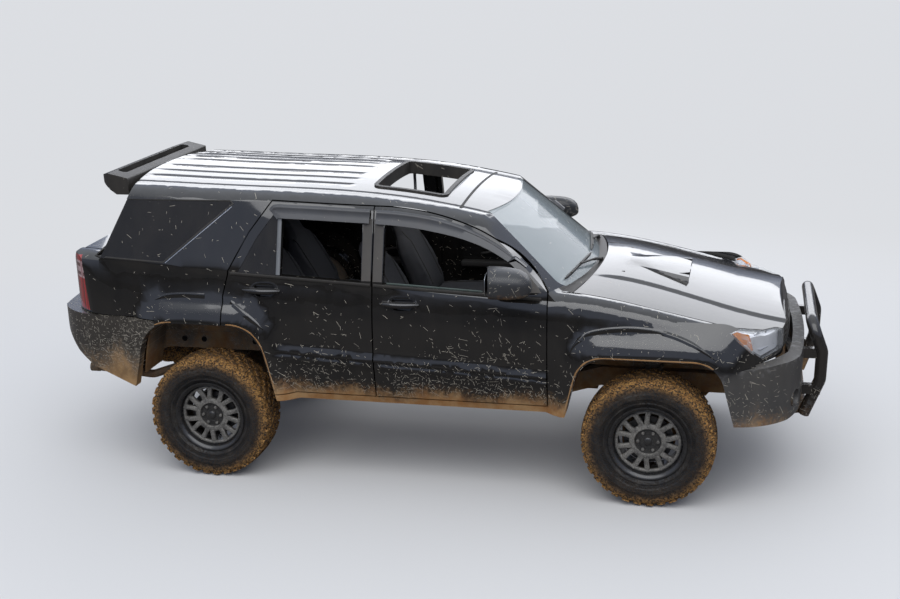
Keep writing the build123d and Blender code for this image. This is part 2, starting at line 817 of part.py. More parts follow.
with BuildPart() as grille:
    grille_back = ahead(728)
    grille_mid_z = (grille_low_z + grille_high_z) / 2
    with BuildSketch(Plane.YZ.offset(grille_back)):
        with Locations((0, grille_mid_z)):
            Rectangle(2 * grille_half_width, grille_high_z - grille_low_z)
            Rectangle(2 * grille_half_width - 50, grille_high_z - grille_low_z - 40, mode=Mode.SUBTRACT)
        for row in range(-1, 2):
            with Locations((0, grille_mid_z + row * 31)):
                Rectangle(2 * grille_half_width - 20, 9)
        for column in range(-3, 4):
            with Locations((column * 134, grille_mid_z)):
                Rectangle(8, grille_high_z - grille_low_z - 10)
    extrude(amount=120)
    add(plan_block(2), mode=Mode.INTERSECT)
    add(end_block(2), mode=Mode.INTERSECT)
save(grille.part, "grille")

rear_plans = [
    bumper_plan(rear(-rear_overhang), (rear(-1040), 700), (rear(-760), 905), (rear(-300), 944), wall)
    for wall in (0, bumper_wall)
]
with BuildPart() as rear_bumper:
    add(
        bumper_cover(
            rear_plans,
            [
                (rear(-304), 1050), (rear(-770), 1066), (rear(-1300), 1066), (rear(-1300), 960),
                (rear(-1075), 960), (rear(-900), 800), (rear(-764), 715), (rear(-480), 600),
                (rear(-304), 590),
            ],
            "rear",
        )
    )
    # step pad that closes the top up to the tailgate
    with BuildSketch(Plane.XY.offset(1040)):
        with Locations((rear(-1000), 0)):
            Rectangle(112, 1240)
    extrude(amount=26)
save(rear_bumper.part, "rear_bumper")

bar_radius = 36
bar_out = ahead(front_overhang - bar_radius)
bracket_root = ahead(886)
with BuildPart() as bull_bar:
    bar_rows = [
        (ahead(905), -415, 468),
        (bar_out - 4, -440, 700),
        (bar_out, -445, 880),
        (ahead(930), -440, 1052),
    ]
    with BuildLine() as bar_line:
        FilletPolyline(
            *bar_rows, *[(x, -y, z) for x, y, z in reversed(bar_rows)], radius=90
        )
    with BuildSketch(Plane(origin=bar_line.line @ 0, z_dir=bar_line.line % 0)):
        Circle(bar_radius)
    sweep(transition=Transition.ROUND)
    # brackets back to the frame horns, and the plate under the bumper
    for s in (left, right):
        for z in (870, 640):
            with Locations(((bracket_root + bar_out) / 2, s * 441, z)):
                Box(bar_out - bracket_root, 44, 60)
    with BuildSketch(Plane.XZ):
        with BuildLine():
            Polyline(
                (ahead(915), 478), (ahead(640), 430), (ahead(640), 422), (ahead(925), 470), close=True
            )
        make_face()
    extrude(amount=400, both=True)
save(bull_bar.part, "bull_bar")

spoiler_half = 618
with BuildPart() as spoiler:
    with BuildSketch(Plane.XZ):
        add(
            outline(
                [
                    (rear(-553), 1896), (rear(-690), 1927), (rear(-786), 1898), (rear(-770), 1852),
                    (rear(-690), 1826), (rear(-640), 1790), (rear(-553), 1790),
                ],
                8,
            )
        )
    extrude(amount=spoiler_half, both=True)
    with BuildSketch(Plane.XY.offset(1700)):
        with Locations((rear(-652), 0)):
            RectangleRounded(62, 1010, 28)
        for s in (left, right):
            with BuildLine():
                ThreePointArc(
                    (rear(-500), s * 700), (rear(-690), s * 612), (rear(-800), s * 470)
                )
                Polyline((rear(-800), s * 470), (rear(-900), s * 700), (rear(-500), s * 700))
            make_face()
    extrude(amount=400, mode=Mode.SUBTRACT)
    add(upper_skin, mode=Mode.SUBTRACT)
save(spoiler.part, "spoiler")

# door mirrors
mirror_x, mirror_z = ahead(-790), 1408
with BuildPart() as door_mirror:
    with BuildSketch(Plane.YZ.offset(mirror_x - 110)):
        with Locations((-1012, mirror_z)):
            RectangleRounded(208, 196, 66)
    extrude(amount=215)
    fillet(door_mirror.faces().sort_by(Axis.X)[-1].edges(), 60)
    with BuildSketch(Plane.YZ.offset(mirror_x - 110)):
        with Locations((-1012, mirror_z)):
            RectangleRounded(184, 172, 56)
    extrude(amount=12, mode=Mode.SUBTRACT)
    # arm into the door's corner
    with BuildSketch(Plane.XZ.offset(830)):
        with Locations((mirror_x + 50, 1330)):
            RectangleRounded(120, 44, 16)
    extrude(amount=130)
    add(skin_form.part, mode=Mode.SUBTRACT)

# Frame: two rails, inner half width, outer half width and the band's side outline
rail_front_x = ahead(808)
rail_low = [
    (rail_front_x, 580), (ahead(300), 580), (ahead(-330), 590), (ahead(-620), 500),
    (rear(760), 500), (rear(420), 735), (rear(-420), 735), (rear(-640), 650), (rear(-960), 650),
]
rail_height = 122


def rail(low_x, high_x, inner, outer):
    points = rail_low + [(x, z + rail_height) for x, z in reversed(rail_low)]
    with BuildPart() as band:
        with BuildSketch(Plane.XZ.offset(inner)):
            add(outline(points))
            with Locations(((low_x + high_x) / 2, 600)):
                Rectangle(high_x - low_x, 1200, mode=Mode.INTERSECT)
        extrude(amount=outer - inner)
    return band.part


# x, z, radius
cross_tubes = [
    (ahead(770), 640, 30), (ahead(-1560), 594, 26), (rear(820), 594, 26),
    (rear(150), 800, 30), (rear(-935), 712, 24),
]
eye_radius, eye_thickness = 13, 20
# outline, near half width, hole X, hole Z
eye_rows = [
    (
        [
            (ahead(775), 640), (ahead(806), 640), (ahead(810), 540), (ahead(864), 540),
            (ahead(864), 492), (ahead(775), 492),
        ],
        300, ahead(840), 516,
    ),
    (
        [(rear(-955), 700), (rear(-1040), 694), (rear(-1040), 648), (rear(-955), 652)],
        463, rear(-1012), 671,
    ),
]
outrigger_stations = [ahead(-800), b_cut_x, rear(780)]
with BuildPart() as ladder_frame:
    for s in (left, right):
        add(on_side(rail(ahead(-760), rail_front_x, 360, 440), s))
        add(on_side(rail(rear(-960), ahead(-560), 434, 512), s))
    for x, z, radius in cross_tubes:
        with BuildSketch(Plane.XZ):
            with Locations((x, z)):
                Circle(radius)
        extrude(amount=436, both=True)
    for x in outrigger_stations:
        with Locations((x, 632, 538), (x, -632, 538)):
            Box(70, 252, 44)
    # recovery eyes, two under the front bumper and two on the rail ends
    for eye, near, hole_x, hole_z in eye_rows:
        for s in (left, right):
            with BuildSketch(Plane.XZ.offset(near if s == right else -near - eye_thickness)):
                add(outline(eye))
                with Locations((hole_x, hole_z)):
                    Circle(eye_radius, mode=Mode.SUBTRACT)
            extrude(amount=eye_thickness)
save(ladder_frame.part, "ladder_frame")

with BuildPart() as floor_pan:
    with BuildSketch(Plane.XZ):
        with BuildLine():
            floor_line = Polyline(
                (ahead(-506), 980), (ahead(-506), 700), (ahead(-640), cabin_floor_z),
                (rear(640), cabin_floor_z), (rear(560), cargo_floor_z), (rear(-900), cargo_floor_z),
            )
            offset(floor_line, amount=16, side=Side.LEFT)
        make_face()
    extrude(amount=750, both=True)
    # room for the rear arches, and a channel over each rail's kick-up
    with BuildSketch() as channel:
        add(outline(rail_low + [(x, z + rail_height) for x, z in reversed(rail_low)]))
        offset(amount=6, kind=Kind.INTERSECTION)
    for s in (left, right):
        add(cut_block(arch_face("rear", 28, 28), 540, 1100, s), mode=Mode.SUBTRACT)
        add(cut_block(channel.sketch, 428, 518, s), mode=Mode.SUBTRACT)
    add(plan_block(jamb_gap + 40), mode=Mode.INTERSECT)
save(floor_pan.part, "floor_pan")

liner_wall = 8
with BuildPart() as arch_liners:
    for s in (left, right):
        for wheel, inner_y, low in (("front", 452, 660), ("rear", 548, 600)):
            with BuildSketch() as band:
                add(arch_face(wheel, 4 + liner_wall, 4 + liner_wall))
                add(arch_face(wheel, 4, 4), mode=Mode.SUBTRACT)
                with Locations((arch_rows[wheel][0], low)):
                    Rectangle(2000, 1000, align=(Align.CENTER, Align.MIN), mode=Mode.INTERSECT)
            add(cut_block(band.sketch, inner_y, waist_half_width - shell_wall - 20, s))
            with BuildSketch() as apron:
                add(arch_face(wheel, 4 + liner_wall, 4 + liner_wall))
                with Locations((arch_rows[wheel][0], 735 if wheel == "front" else 870)):
                    Rectangle(2000, 1000, align=(Align.CENTER, Align.MIN), mode=Mode.INTERSECT)
            add(cut_block(apron.sketch, inner_y, inner_y + liner_wall, s))
liners = arch_liners.part & lower_jamb
save(liners, "arch_liners")

# Wheels: made about the origin with the outer side towards -Y, then placed.
half_rim = rim_width / 2
tyre_half = tyre_width / 2
with BuildPart() as tyre:
    with BuildSketch(Plane.XY):
        with BuildLine():
            Polyline(
                (bead_radius + 2, -half_rim + 14), (rim_lip_radius + 4, -half_rim + 9),
            )
            ThreePointArc(
                (rim_lip_radius + 4, -half_rim + 9), (320, -tyre_half), (tyre_radius - 34, -tyre_half + 12)
            )
            ThreePointArc(
                (tyre_radius - 34, -tyre_half + 12), (tyre_radius - 9, -tyre_half + 22),
                (tyre_radius - 3, -tyre_half + 42),
            )
            ThreePointArc(
                (tyre_radius - 3, -tyre_half + 42), (tyre_radius, 0), (tyre_radius - 3, tyre_half - 42)
            )
            ThreePointArc(
                (tyre_radius - 3, tyre_half - 42), (tyre_radius - 9, tyre_half - 22),
                (tyre_radius - 34, tyre_half - 12),
            )
            ThreePointArc(
                (tyre_radius - 34, tyre_half - 12), (320, tyre_half), (rim_lip_radius + 4, half_rim - 9)
            )
            Polyline(
                (rim_lip_radius + 4, half_rim - 9), (bead_radius + 2, half_rim - 14),
                (bead_radius + 2, half_rim - 40), (bead_radius + 16, half_rim - 46),
                (bead_radius + 16, 46 - half_rim), (bead_radius + 2, 40 - half_rim),
                (bead_radius + 2, 14 - half_rim),
            )
        make_face()
    revolve(axis=Axis.Y)

spoke_inset = 26             # spokes behind the outer lip
spoke_depth = 34
hub_step = 8                 # hub pad behind the spokes
spoke_back = half_rim - spoke_inset - spoke_depth
window_radius = barrel_radius - 18
long_window = outline(
    [
        (hub_radius + 30, -slot_half / 2), (window_radius, -slot_half),
        (window_radius, slot_half), (hub_radius + 30, slot_half / 2),
    ],
    6,
)
fork_notch = outline(
    [
        (hub_radius + 46, -5), (window_radius, -notch_half),
        (window_radius, notch_half), (hub_radius + 46, 5),
    ],
    4,
)
with BuildPart() as rim:
    with BuildSketch(Plane.XY):
        with BuildLine():
            Polyline(
                (rim_lip_radius, -half_rim), (rim_lip_radius, 8 - half_rim),
                (bead_radius + 1, 12 - half_rim), (bead_radius + 1, 42 - half_rim),
                (barrel_radius, 66 - half_rim), (barrel_radius, half_rim - 60),
                (bead_radius + 1, half_rim - 42), (bead_radius + 1, half_rim - 12),
                (rim_lip_radius, half_rim - 8), (rim_lip_radius, half_rim),
                (rim_lip_radius - 9, half_rim), (bead_radius - 8, half_rim - 14),
                (bead_radius - 8, half_rim - 40), (barrel_radius - 8, half_rim - 58),
                (barrel_radius - 8, 64 - half_rim), (bead_radius - 9, 40 - half_rim),
                (bead_radius - 9, 10 - half_rim), (rim_lip_radius - 10, -half_rim),
                close=True,
            )
        make_face()
    revolve(axis=Axis.Y)
    # the dished face: long windows between forked spokes, short ones inside the forks
    with BuildSketch(Plane.XZ.offset(spoke_back)):
        Circle(bead_radius - 4)
        Circle(hub_radius - 4, mode=Mode.SUBTRACT)
        with PolarLocations(0, fork_count):
            add(long_window, mode=Mode.SUBTRACT)
        with PolarLocations(0, fork_count, start_angle=180 / fork_count):
            add(fork_notch, mode=Mode.SUBTRACT)
    extrude(amount=spoke_depth)
    with BuildSketch(Plane.XZ.offset(spoke_back - hub_step)):
        Circle(hub_radius)
    extrude(amount=spoke_depth)
    with BuildSketch(Plane.XZ.offset(spoke_back - hub_step)):
        Circle(cap_radius)
        with PolarLocations(lug_circle / 2, lug_count):
            Circle(7)
    extrude(amount=spoke_depth, mode=Mode.SUBTRACT)
    # hub cap
    with BuildSketch(Plane.XZ.offset(spoke_back)):
        Circle(cap_radius)
    extrude(amount=spoke_depth - 12)

wheel_rows = [
    ("front_left", ahead(0), left), ("front_right", ahead(0), right),
    ("rear_left", rear(0), left), ("rear_right", rear(0), right),
]
for name, x, side in wheel_rows:
    place = Location((x, side * track / 2, tyre_radius))
    save(on_side(tyre.part, side).moved(place), f"tyre_{name}")
    save(on_side(rim.part, side).moved(place), f"rim_{name}")
spare_place = Location((rear(-500), 0, 700), (90, 0, 0))
save(tyre.part.moved(spare_place), "spare_tyre")
save(rim.part.moved(spare_place), "spare_rim")


# Steering knuckle: upright on the steering axis, hub and brake disc
hub_face_y = track / 2 + half_rim - spoke_inset - spoke_depth - hub_step
disc_radius, disc_y = 160, 726
with BuildPart() as knuckle:
    with BuildSketch(Plane.XY.offset(tyre_radius - 92)):
        with Locations((ahead(0), -steer_pivot_y)):
            RectangleRounded(74, 52, 14)
    extrude(amount=250)
    with BuildSketch(Plane.XZ.offset(steer_pivot_y)):
        with Locations((ahead(0), tyre_radius)):
            Circle(62)
    extrude(amount=hub_face_y - steer_pivot_y - running_gap)
    with BuildSketch(Plane.XZ.offset(disc_y)):
        with Locations((ahead(0), tyre_radius)):
            Circle(disc_radius)
            with PolarLocations(disc_radius - 28, 12):
                Circle(7, mode=Mode.SUBTRACT)
    extrude(amount=22)
    # caliper behind the axle, and the arm that carries it
    with BuildSketch(Plane.XZ.offset(steer_pivot_y + 8)):
        with Locations((ahead(-126), tyre_radius)):
            RectangleRounded(72, 140, 24)
    extrude(amount=66)
    with BuildSketch(Plane.XZ.offset(steer_pivot_y - 14)):
        with Locations((ahead(-62), tyre_radius)):
            Rectangle(120, 40)
    extrude(amount=36)

# Suspension arms, spring legs, crossmember, differential and drive shafts
arm_end_y = steer_pivot_y - 54
arm_root_y = 300
# low z, thickness, half width at the root
arm_rows = [(tyre_radius - 60, 30, 190), (tyre_radius + 148, 22, 120)]
coil_y, coil_radius = 545, 48
with BuildPart() as front_suspension:
    with Locations((ahead(20), 0, 452)):
        Box(190, 640, 74)
    with Locations((ahead(20), 0, 535)):
        Box(120, 640, 110)
    with BuildSketch(Plane.XZ):
        with Locations((ahead(0), tyre_radius)):
            Circle(86)
    extrude(amount=130, both=True)
    with BuildSketch(Plane.XZ):
        with Locations((ahead(0), tyre_radius)):
            Circle(24)
    extrude(amount=steer_pivot_y - 70, both=True)
    for s in (left, right):
        for z, thick, spread in arm_rows:
            with BuildSketch(Plane.XY.offset(z)):
                add(
                    outline(
                        [
                            (ahead(spread), s * arm_root_y), (ahead(34), s * arm_end_y),
                            (ahead(-34), s * arm_end_y), (ahead(-spread), s * arm_root_y),
                            (ahead(50 - spread), s * arm_root_y), (ahead(0), s * (arm_end_y - 130)),
                            (ahead(spread - 50), s * arm_root_y),
                        ]
                    )
                )
            extrude(amount=thick)
        with BuildSketch(Plane.XY.offset(tyre_radius - 50)):
            with Locations((ahead(0), s * coil_y)):
                Circle(coil_radius)
        extrude(amount=515)
        with Locations((ahead(0), s * (coil_y - 15), 877)):
            Box(130, 130, 30)
save(front_suspension.part, "front_suspension")

drum_y = track / 2 - half_rim - 18
with BuildPart() as rear_axle:
    with BuildSketch(Plane.XZ):
        with Locations((rear(0), tyre_radius)):
            Circle(42)
    extrude(amount=hub_face_y - running_gap, both=True)
    with Locations((rear(0), 0, tyre_radius)):
        Sphere(142)
    for s in (left, right):
        with BuildSketch(Plane.XZ.offset(s * drum_y)):
            with Locations((rear(0), tyre_radius)):
                Circle(150)
        extrude(amount=s * 70)
        # trailing arm and spring
        with BuildSketch(Plane.XZ.offset(s * 430 - 22)):
            add(outline([(rear(-30), 354), (rear(-30), 406), (rear(640), 546), (rear(640), 494)]))
        extrude(amount=44)
        with BuildSketch(Plane.XY.offset(tyre_radius + 10)):
            with Locations((rear(10), s * 360)):
                Circle(58)
        extrude(amount=440)
save(rear_axle.part, "rear_axle")

with BuildPart() as engine_block:
    with Locations((ahead(-60), 0, 868)):
        Box(640, 520, 476)
    chamfer(engine_block.edges().filter_by(Axis.X), 70)
save(engine_block.part, "engine_block")

# start (X, Y, Z), end (X, Y, Z)
shaft_rows = [
    ((ahead(-1200), 190, 520), (ahead(-95), 60, tyre_radius)),
    ((ahead(-1400), 0, 540), (rear(150), 0, tyre_radius)),
]
with BuildPart() as driveline:
    with BuildSketch(Plane.YZ.offset(ahead(-1180))):
        with Locations((0, 510)):
            RectangleRounded(250, 170, 60)
    with BuildSketch(Plane.YZ.offset(ahead(-386))):
        with Locations((0, 527)):
            RectangleRounded(330, 170, 60)
    loft()
    with Locations((ahead(-1300), 60, 518)):
        Box(300, 330, 180)
    for start, end in shaft_rows:
        with BuildLine() as shaft_line:
            Line(start, end)
        with BuildSketch(Plane(origin=shaft_line.line @ 0, z_dir=shaft_line.line % 0)):
            Circle(30)
        sweep()
save(driveline.part, "driveline")

with BuildPart() as exhaust:
    with BuildLine() as pipe_line:
        FilletPolyline(
            (ahead(-500), -230, 520), (ahead(-1300), -250, 500), (rear(700), -270, 500),
            (rear(330), -255, 690), (rear(-60), -255, 690), (rear(-330), -450, 600),
            (rear(-520), -590, 560), (rear(-960), -600, 600),
            radius=60,
        )
    with BuildSketch(Plane(origin=pipe_line.line @ 0, z_dir=pipe_line.line % 0)):
        Circle(27)
    sweep()
    with BuildSketch(Plane.YZ.offset(ahead(-1940))):
        with Locations((-262, 500)):
            RectangleRounded(190, 104, 50)
    extrude(amount=480)
save(exhaust.part, "exhaust")

with BuildPart() as fuel_tank:
    with Locations((rear(560), 210, 540)):
        Box(380, 300, 136)
    fillet(fuel_tank.edges().filter_by(Axis.X), 34)
save(fuel_tank.part, "fuel_tank")

# Cabin. The seats are one side outline each, with a box under the cushion.
seat_y, seat_width = 370, 520
front_seat_outline = [
    (ahead(-1000), 985), (ahead(-990), 880), (ahead(-1080), 800), (ahead(-1560), 790),
    (ahead(-1660), 880), (ahead(-1890), 1490), (ahead(-1800), 1535), (ahead(-1520), 960),
]
rear_seat_outline = [
    (ahead(-1850), 985), (ahead(-1840), 880), (ahead(-1920), 800), (ahead(-2130), 800),
    (ahead(-2250), 915), (ahead(-2390), 915), (ahead(-2690), 1480), (ahead(-2600), 1520),
    (ahead(-2300), 960),
]
rear_seat_width = 1240


def seat(points, width, base_width, base_back, base_front, y):
    with BuildPart() as chair:
        with BuildSketch(Plane.XZ.offset(-y)):
            add(outline(points, 26))
        extrude(amount=width / 2, both=True)
        with Locations(((base_back + base_front) / 2, y, cabin_floor_z + 20)):
            Box(
                base_front - base_back, base_width, 150,
                align=(Align.CENTER, Align.CENTER, Align.MIN),
            )
    return chair.part


front_seat = seat(front_seat_outline, seat_width, 400, ahead(-1560), ahead(-1100), -seat_y)
save(front_seat, "front_seat_right")
save(on_side(front_seat, left), "front_seat_left")
with BuildPart() as rear_seat:
    add(seat(rear_seat_outline, rear_seat_width, 820, ahead(-2110), ahead(-1930), 0))
    for s in (left, right):
        add(cut_block(arch_face("rear", 24, 24), 530, 1100, s), mode=Mode.SUBTRACT)
save(rear_seat.part, "rear_seat")

wheel_centre = (ahead(-950), seat_y, 1200)
column_tilt = 25
column_plane = Plane(
    origin=wheel_centre,
    x_dir=(0, 1, 0),
    z_dir=(cos(radians(column_tilt)), 0, -sin(radians(column_tilt))),
)
dash_outline = [
    (ahead(-520), 1000), (ahead(-520), 1170), (ahead(-620), 1195), (ahead(-700), 1236),
    (ahead(-790), 1205), (ahead(-765), 1060), (ahead(-660), 960),
]
with BuildPart() as dashboard:
    with BuildSketch(Plane.XZ):
        add(outline(dash_outline, 18))
    extrude(amount=720, both=True)
    # tunnel console
    with BuildSketch(Plane.XZ):
        add(
            outline(
                [
                    (ahead(-680), 1000), (ahead(-680), cabin_floor_z + 20),
                    (ahead(-1480), cabin_floor_z + 20), (ahead(-1480), 860), (ahead(-900), 860),
                ]
            )
        )
    extrude(amount=90, both=True)
    with BuildSketch(column_plane.offset(62)):
        Circle(34)
    extrude(amount=200)
save(dashboard.part, "dashboard")

steering_radius, steering_tube = 188, 15
with BuildPart() as steering_wheel:
    with Locations(Location(column_plane)):
        Torus(steering_radius, steering_tube)
    with BuildSketch(column_plane.offset(-7)):
        Circle(58)
        for angle in (0, 180, 270):
            with Locations(Location((0, 0), angle)):
                Rectangle(steering_radius, 34, align=(Align.MIN, Align.CENTER))
    extrude(amount=14)
    with BuildSketch(column_plane.offset(6)):
        Circle(30)
    extrude(amount=44)
save(steering_wheel.part, "steering_wheel")

for side, name in ((right, "right"), (left, "left")):
    save(on_side(body_side.part, side), f"body_side_{name}")
    save(on_side(fender.part, side), f"fender_{name}")
    save(on_side(vent_glass.part, side), f"vent_glass_{name}")
    save(on_side(door_mirror.part, side), f"mirror_{name}")
    save(on_side(knuckle.part, side), f"knuckle_{name}")
for door_name in door_faces:
    door_part = door_panel(door_name)
    for side, name in ((right, "right"), (left, "left")):
        save(on_side(door_part, side), f"{door_name}_door_{name}")
for pair, name in ((lamp, "headlamps"), (quarter_glass, "quarter_glass"), (tail_lamp, "tail_lamps")):
    with BuildPart() as both_sides:
        add(pair.part)
        add(mirror(pair.part, Plane.XZ))
    save(both_sides.part, name)
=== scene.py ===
import math

import bmesh
import bpy
import numpy as np
from mathutils import Matrix, Vector
from mathutils.bvhtree import BVHTree


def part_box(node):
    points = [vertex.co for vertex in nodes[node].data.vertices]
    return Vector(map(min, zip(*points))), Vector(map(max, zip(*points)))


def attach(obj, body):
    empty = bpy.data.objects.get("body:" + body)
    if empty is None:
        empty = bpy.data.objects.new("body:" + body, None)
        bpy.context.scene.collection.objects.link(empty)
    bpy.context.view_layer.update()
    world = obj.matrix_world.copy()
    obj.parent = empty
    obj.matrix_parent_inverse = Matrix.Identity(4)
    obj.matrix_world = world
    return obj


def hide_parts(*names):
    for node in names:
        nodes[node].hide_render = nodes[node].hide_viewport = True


# Looks of a lifted five-door off-road wagon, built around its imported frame.
# Metres, X forward, Y to the car's left, Z up, ground at zero.

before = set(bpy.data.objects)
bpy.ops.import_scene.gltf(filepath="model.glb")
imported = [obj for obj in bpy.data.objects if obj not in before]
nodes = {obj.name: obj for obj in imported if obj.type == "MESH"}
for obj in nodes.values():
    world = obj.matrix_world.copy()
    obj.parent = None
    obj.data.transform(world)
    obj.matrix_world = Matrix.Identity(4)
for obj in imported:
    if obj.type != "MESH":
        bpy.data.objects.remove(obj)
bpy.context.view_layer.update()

FRONT_AXLE = 1.435
REAR_AXLE = -1.355
HUB_Z = 0.405
WHEEL_Y = 0.7875
SIDES = (("left", 1), ("right", -1))
CORNERS = {
    "front_left": (FRONT_AXLE, 1), "front_right": (FRONT_AXLE, -1),
    "rear_left": (REAR_AXLE, 1), "rear_right": (REAR_AXLE, -1),
}
MUD = (0.33, 0.155, 0.05)
DRY_MUD = (0.45, 0.27, 0.12)
STRAW = (0.62, 0.56, 0.45)
DUST = (0.42, 0.36, 0.28)
FLIP_Y = Matrix.Diagonal((1, -1, 1, 1))


# ---------------------------------------------------------------- shaders
class Tree:
    """Short way to write a node tree: nodes with their inputs set or linked."""

    def __init__(self, tree):
        self.tree = tree

    def put(self, socket, value):
        if hasattr(value, "is_output"):
            self.tree.links.new(value, socket)
        elif socket.type == "RGBA":
            socket.default_value = (*value, 1)
        else:
            socket.default_value = value

    def fill(self, node, inputs):
        for key, value in inputs.items():
            self.put(node.inputs[key], value)

    def node(self, kind, inputs=None, **values):
        node = self.tree.nodes.new(kind)
        for key, value in values.items():
            setattr(node, key, value)
        self.fill(node, inputs or {})
        return node

    def first(self, kind, inputs=None, **values):
        return self.node(kind, inputs, **values).outputs[0]

    def math(self, operation, a, b=0.0, clamp=False):
        return self.first("ShaderNodeMath", {0: a, 1: b}, operation=operation, use_clamp=clamp)

    def times(self, a, b, clamp=False):
        return self.math("MULTIPLY", a, b, clamp)

    def plus(self, a, b):
        return self.math("ADD", a, b)

    def minus(self, a, b, clamp=False):
        return self.math("SUBTRACT", a, b, clamp)

    def most(self, a, b):
        return self.math("MAXIMUM", a, b)

    def mix(self, factor, a, b):
        return self.node("ShaderNodeMix", {0: factor, 6: a, 7: b}, data_type="RGBA").outputs[2]

    def blend(self, factor, a, b):
        return self.first("ShaderNodeMix", {0: factor, 2: a, 3: b}, data_type="FLOAT")

    def spread(self, value, low, high, to_low=0.0, to_high=1.0):
        inputs = {0: value, 1: low, 2: high, 3: to_low, 4: to_high}
        return self.first("ShaderNodeMapRange", inputs, interpolation_type="SMOOTHSTEP")

    def noise(self, vector, scale, detail=4.0, roughness=0.55):
        inputs = {"Vector": vector, "Scale": scale, "Detail": detail, "Roughness": roughness}
        return self.first("ShaderNodeTexNoise", inputs)

    def stretch(self, vector, scale):
        return self.first("ShaderNodeMapping", {"Vector": vector, "Scale": scale})

    def split(self, vector):
        return self.node("ShaderNodeSeparateXYZ", {0: vector}).outputs

    def bump(self, height, strength=0.3, distance=0.01, **normal):
        inputs = {"Strength": strength, "Distance": distance, "Height": height, **normal}
        return self.first("ShaderNodeBump", inputs)


def group_tree(name, kind, inputs, outputs):
    """A node group with named sockets, and its two ends."""
    tree = bpy.data.node_groups.new(name, kind)
    for socket, sort, value in inputs:
        made = tree.interface.new_socket(socket, in_out="INPUT", socket_type="NodeSocket" + sort)
        if value is not None:
            made.default_value = value
    for socket, sort in outputs:
        tree.interface.new_socket(socket, in_out="OUTPUT", socket_type="NodeSocket" + sort)
    t = Tree(tree)
    return t, t.node("NodeGroupInput").outputs, t.node("NodeGroupOutput")


def make_spatter():
    """Dried mud: splashed up from the sills, thrown as fine straws and dots."""
    t, given, shown = group_tree(
        "mud_spatter", "ShaderNodeTree",
        [("Vector", "Vector", None), ("Low", "Float", 0.6), ("High", "Float", 1.05),
         ("Straws", "Float", 0.5), ("Dust", "Float", 0.15)],
        [(name, "Float") for name in ("Mud", "Flecks", "Dust", "Height")],
    )
    place, low, high = given["Vector"], given["Low"], given["High"]
    x, y, z = t.split(place)
    normal = t.node("ShaderNodeNewGeometry").outputs["Normal"]
    upward = t.spread(t.split(normal)[2], 0.35, 0.75)

    # splash from below, broken up by two sizes of noise
    broad = t.noise(t.stretch(place, (1.0, 1.0, 0.6)), 3.2, 5.0, 0.62)
    fine = t.noise(place, 46.0, 4.0, 0.7)
    lift = t.times(t.minus(broad, 0.5), t.times(t.minus(high, low), 2.0))
    base = t.spread(t.minus(z, lift), low, high, 1.0, 0.0)
    grain = t.spread(fine, 0.42, 0.62)
    mud = t.times(base, t.blend(t.math("POWER", base, 1.6), grain, 1.0), True)

    # straws: a fine stroke in each cell, mostly slanting back and up
    where = t.spread(t.noise(place, 2.4, 4.0), 0.38, 0.6)
    lower = t.plus(
        t.spread(z, high, t.plus(high, 0.55), 1.0, 0.14),
        t.spread(z, t.minus(high, 0.04), t.plus(high, 0.13), 1.3, 0.0),
    )
    density = t.times(t.times(t.blend(where, 0.2, 1.0), lower), given["Straws"])
    flat = t.first("ShaderNodeCombineXYZ", {0: x, 1: t.blend(upward, z, y)})
    thin = 0.0
    for scale, length, width, least_turn, turns in (
        (10.0, 0.34, 0.015, -0.3, 1.5), (16.0, 0.34, 0.022, -0.4, 1.8),
        (24.0, 0.32, 0.034, 0.0, 3.1416), (38.0, 0.3, 0.055, 0.0, 3.1416),
    ):
        cells = t.node("ShaderNodeTexVoronoi", {"Vector": flat, "Scale": scale}, voronoi_dimensions="2D").outputs
        away = t.first("ShaderNodeVectorMath", {0: flat, 1: cells["Position"]}, operation="SUBTRACT")
        away = t.first("ShaderNodeVectorMath", {0: away, "Scale": scale}, operation="SCALE")
        tone = t.node("ShaderNodeSeparateColor", {0: cells["Color"]}).outputs
        angle = t.plus(t.times(tone[0], turns), least_turn)
        local = t.split(t.first("ShaderNodeVectorRotate", {"Vector": away, "Angle": angle}, rotation_type="Z_AXIS"))
        bent = t.plus(local[1], t.times(t.math("POWER", local[0], 2.0), 0.12))
        along = t.spread(t.math("ABSOLUTE", local[0]), length * 0.7, length, 1.0, 0.0)
        across = t.spread(t.math("ABSOLUTE", bent), width * 0.4, width, 1.0, 0.0)
        chosen = t.times(t.math("LESS_THAN", tone[1], density), t.blend(tone[2], 0.45, 1.0))
        thin = t.most(thin, t.times(t.times(along, across), chosen))
    dots = t.node("ShaderNodeTexVoronoi", {"Vector": place, "Scale": 120.0}).outputs
    pick = t.first("ShaderNodeSeparateColor", {0: dots["Color"]})
    picked = t.math("LESS_THAN", pick, t.times(density, 0.22))
    thin = t.most(thin, t.times(t.spread(dots["Distance"], 0.12, 0.22, 1.0, 0.0), picked))

    film = t.times(t.noise(t.stretch(place, (1.0, 1.0, 0.35)), 7.0, 6.0, 0.65), given["Dust"])
    film = t.times(film, t.blend(base, 1.0, 2.6), True)
    height = t.plus(t.times(mud, fine), t.times(thin, 0.4))
    t.fill(shown, {"Mud": mud, "Flecks": thin, "Dust": film, "Height": height})
    return t.tree


def make_edge_wear():
    """Pale rubbed edges, from pointiness broken up by noise."""
    t, given, shown = group_tree(
        "edge_wear", "ShaderNodeTree", [("Vector", "Vector", None), ("Amount", "Float", 0.5)], [("Wear", "Float")],
    )
    sharp = t.spread(t.node("ShaderNodeNewGeometry").outputs["Pointiness"], 0.52, 0.62)
    rubbed = t.spread(t.noise(given["Vector"], 38.0, 5.0), 0.45, 0.65)
    t.fill(shown, {"Wear": t.times(t.times(sharp, rubbed), given["Amount"], True)})
    return t.tree


SPATTER = make_spatter()
WEAR = make_edge_wear()
materials = {}


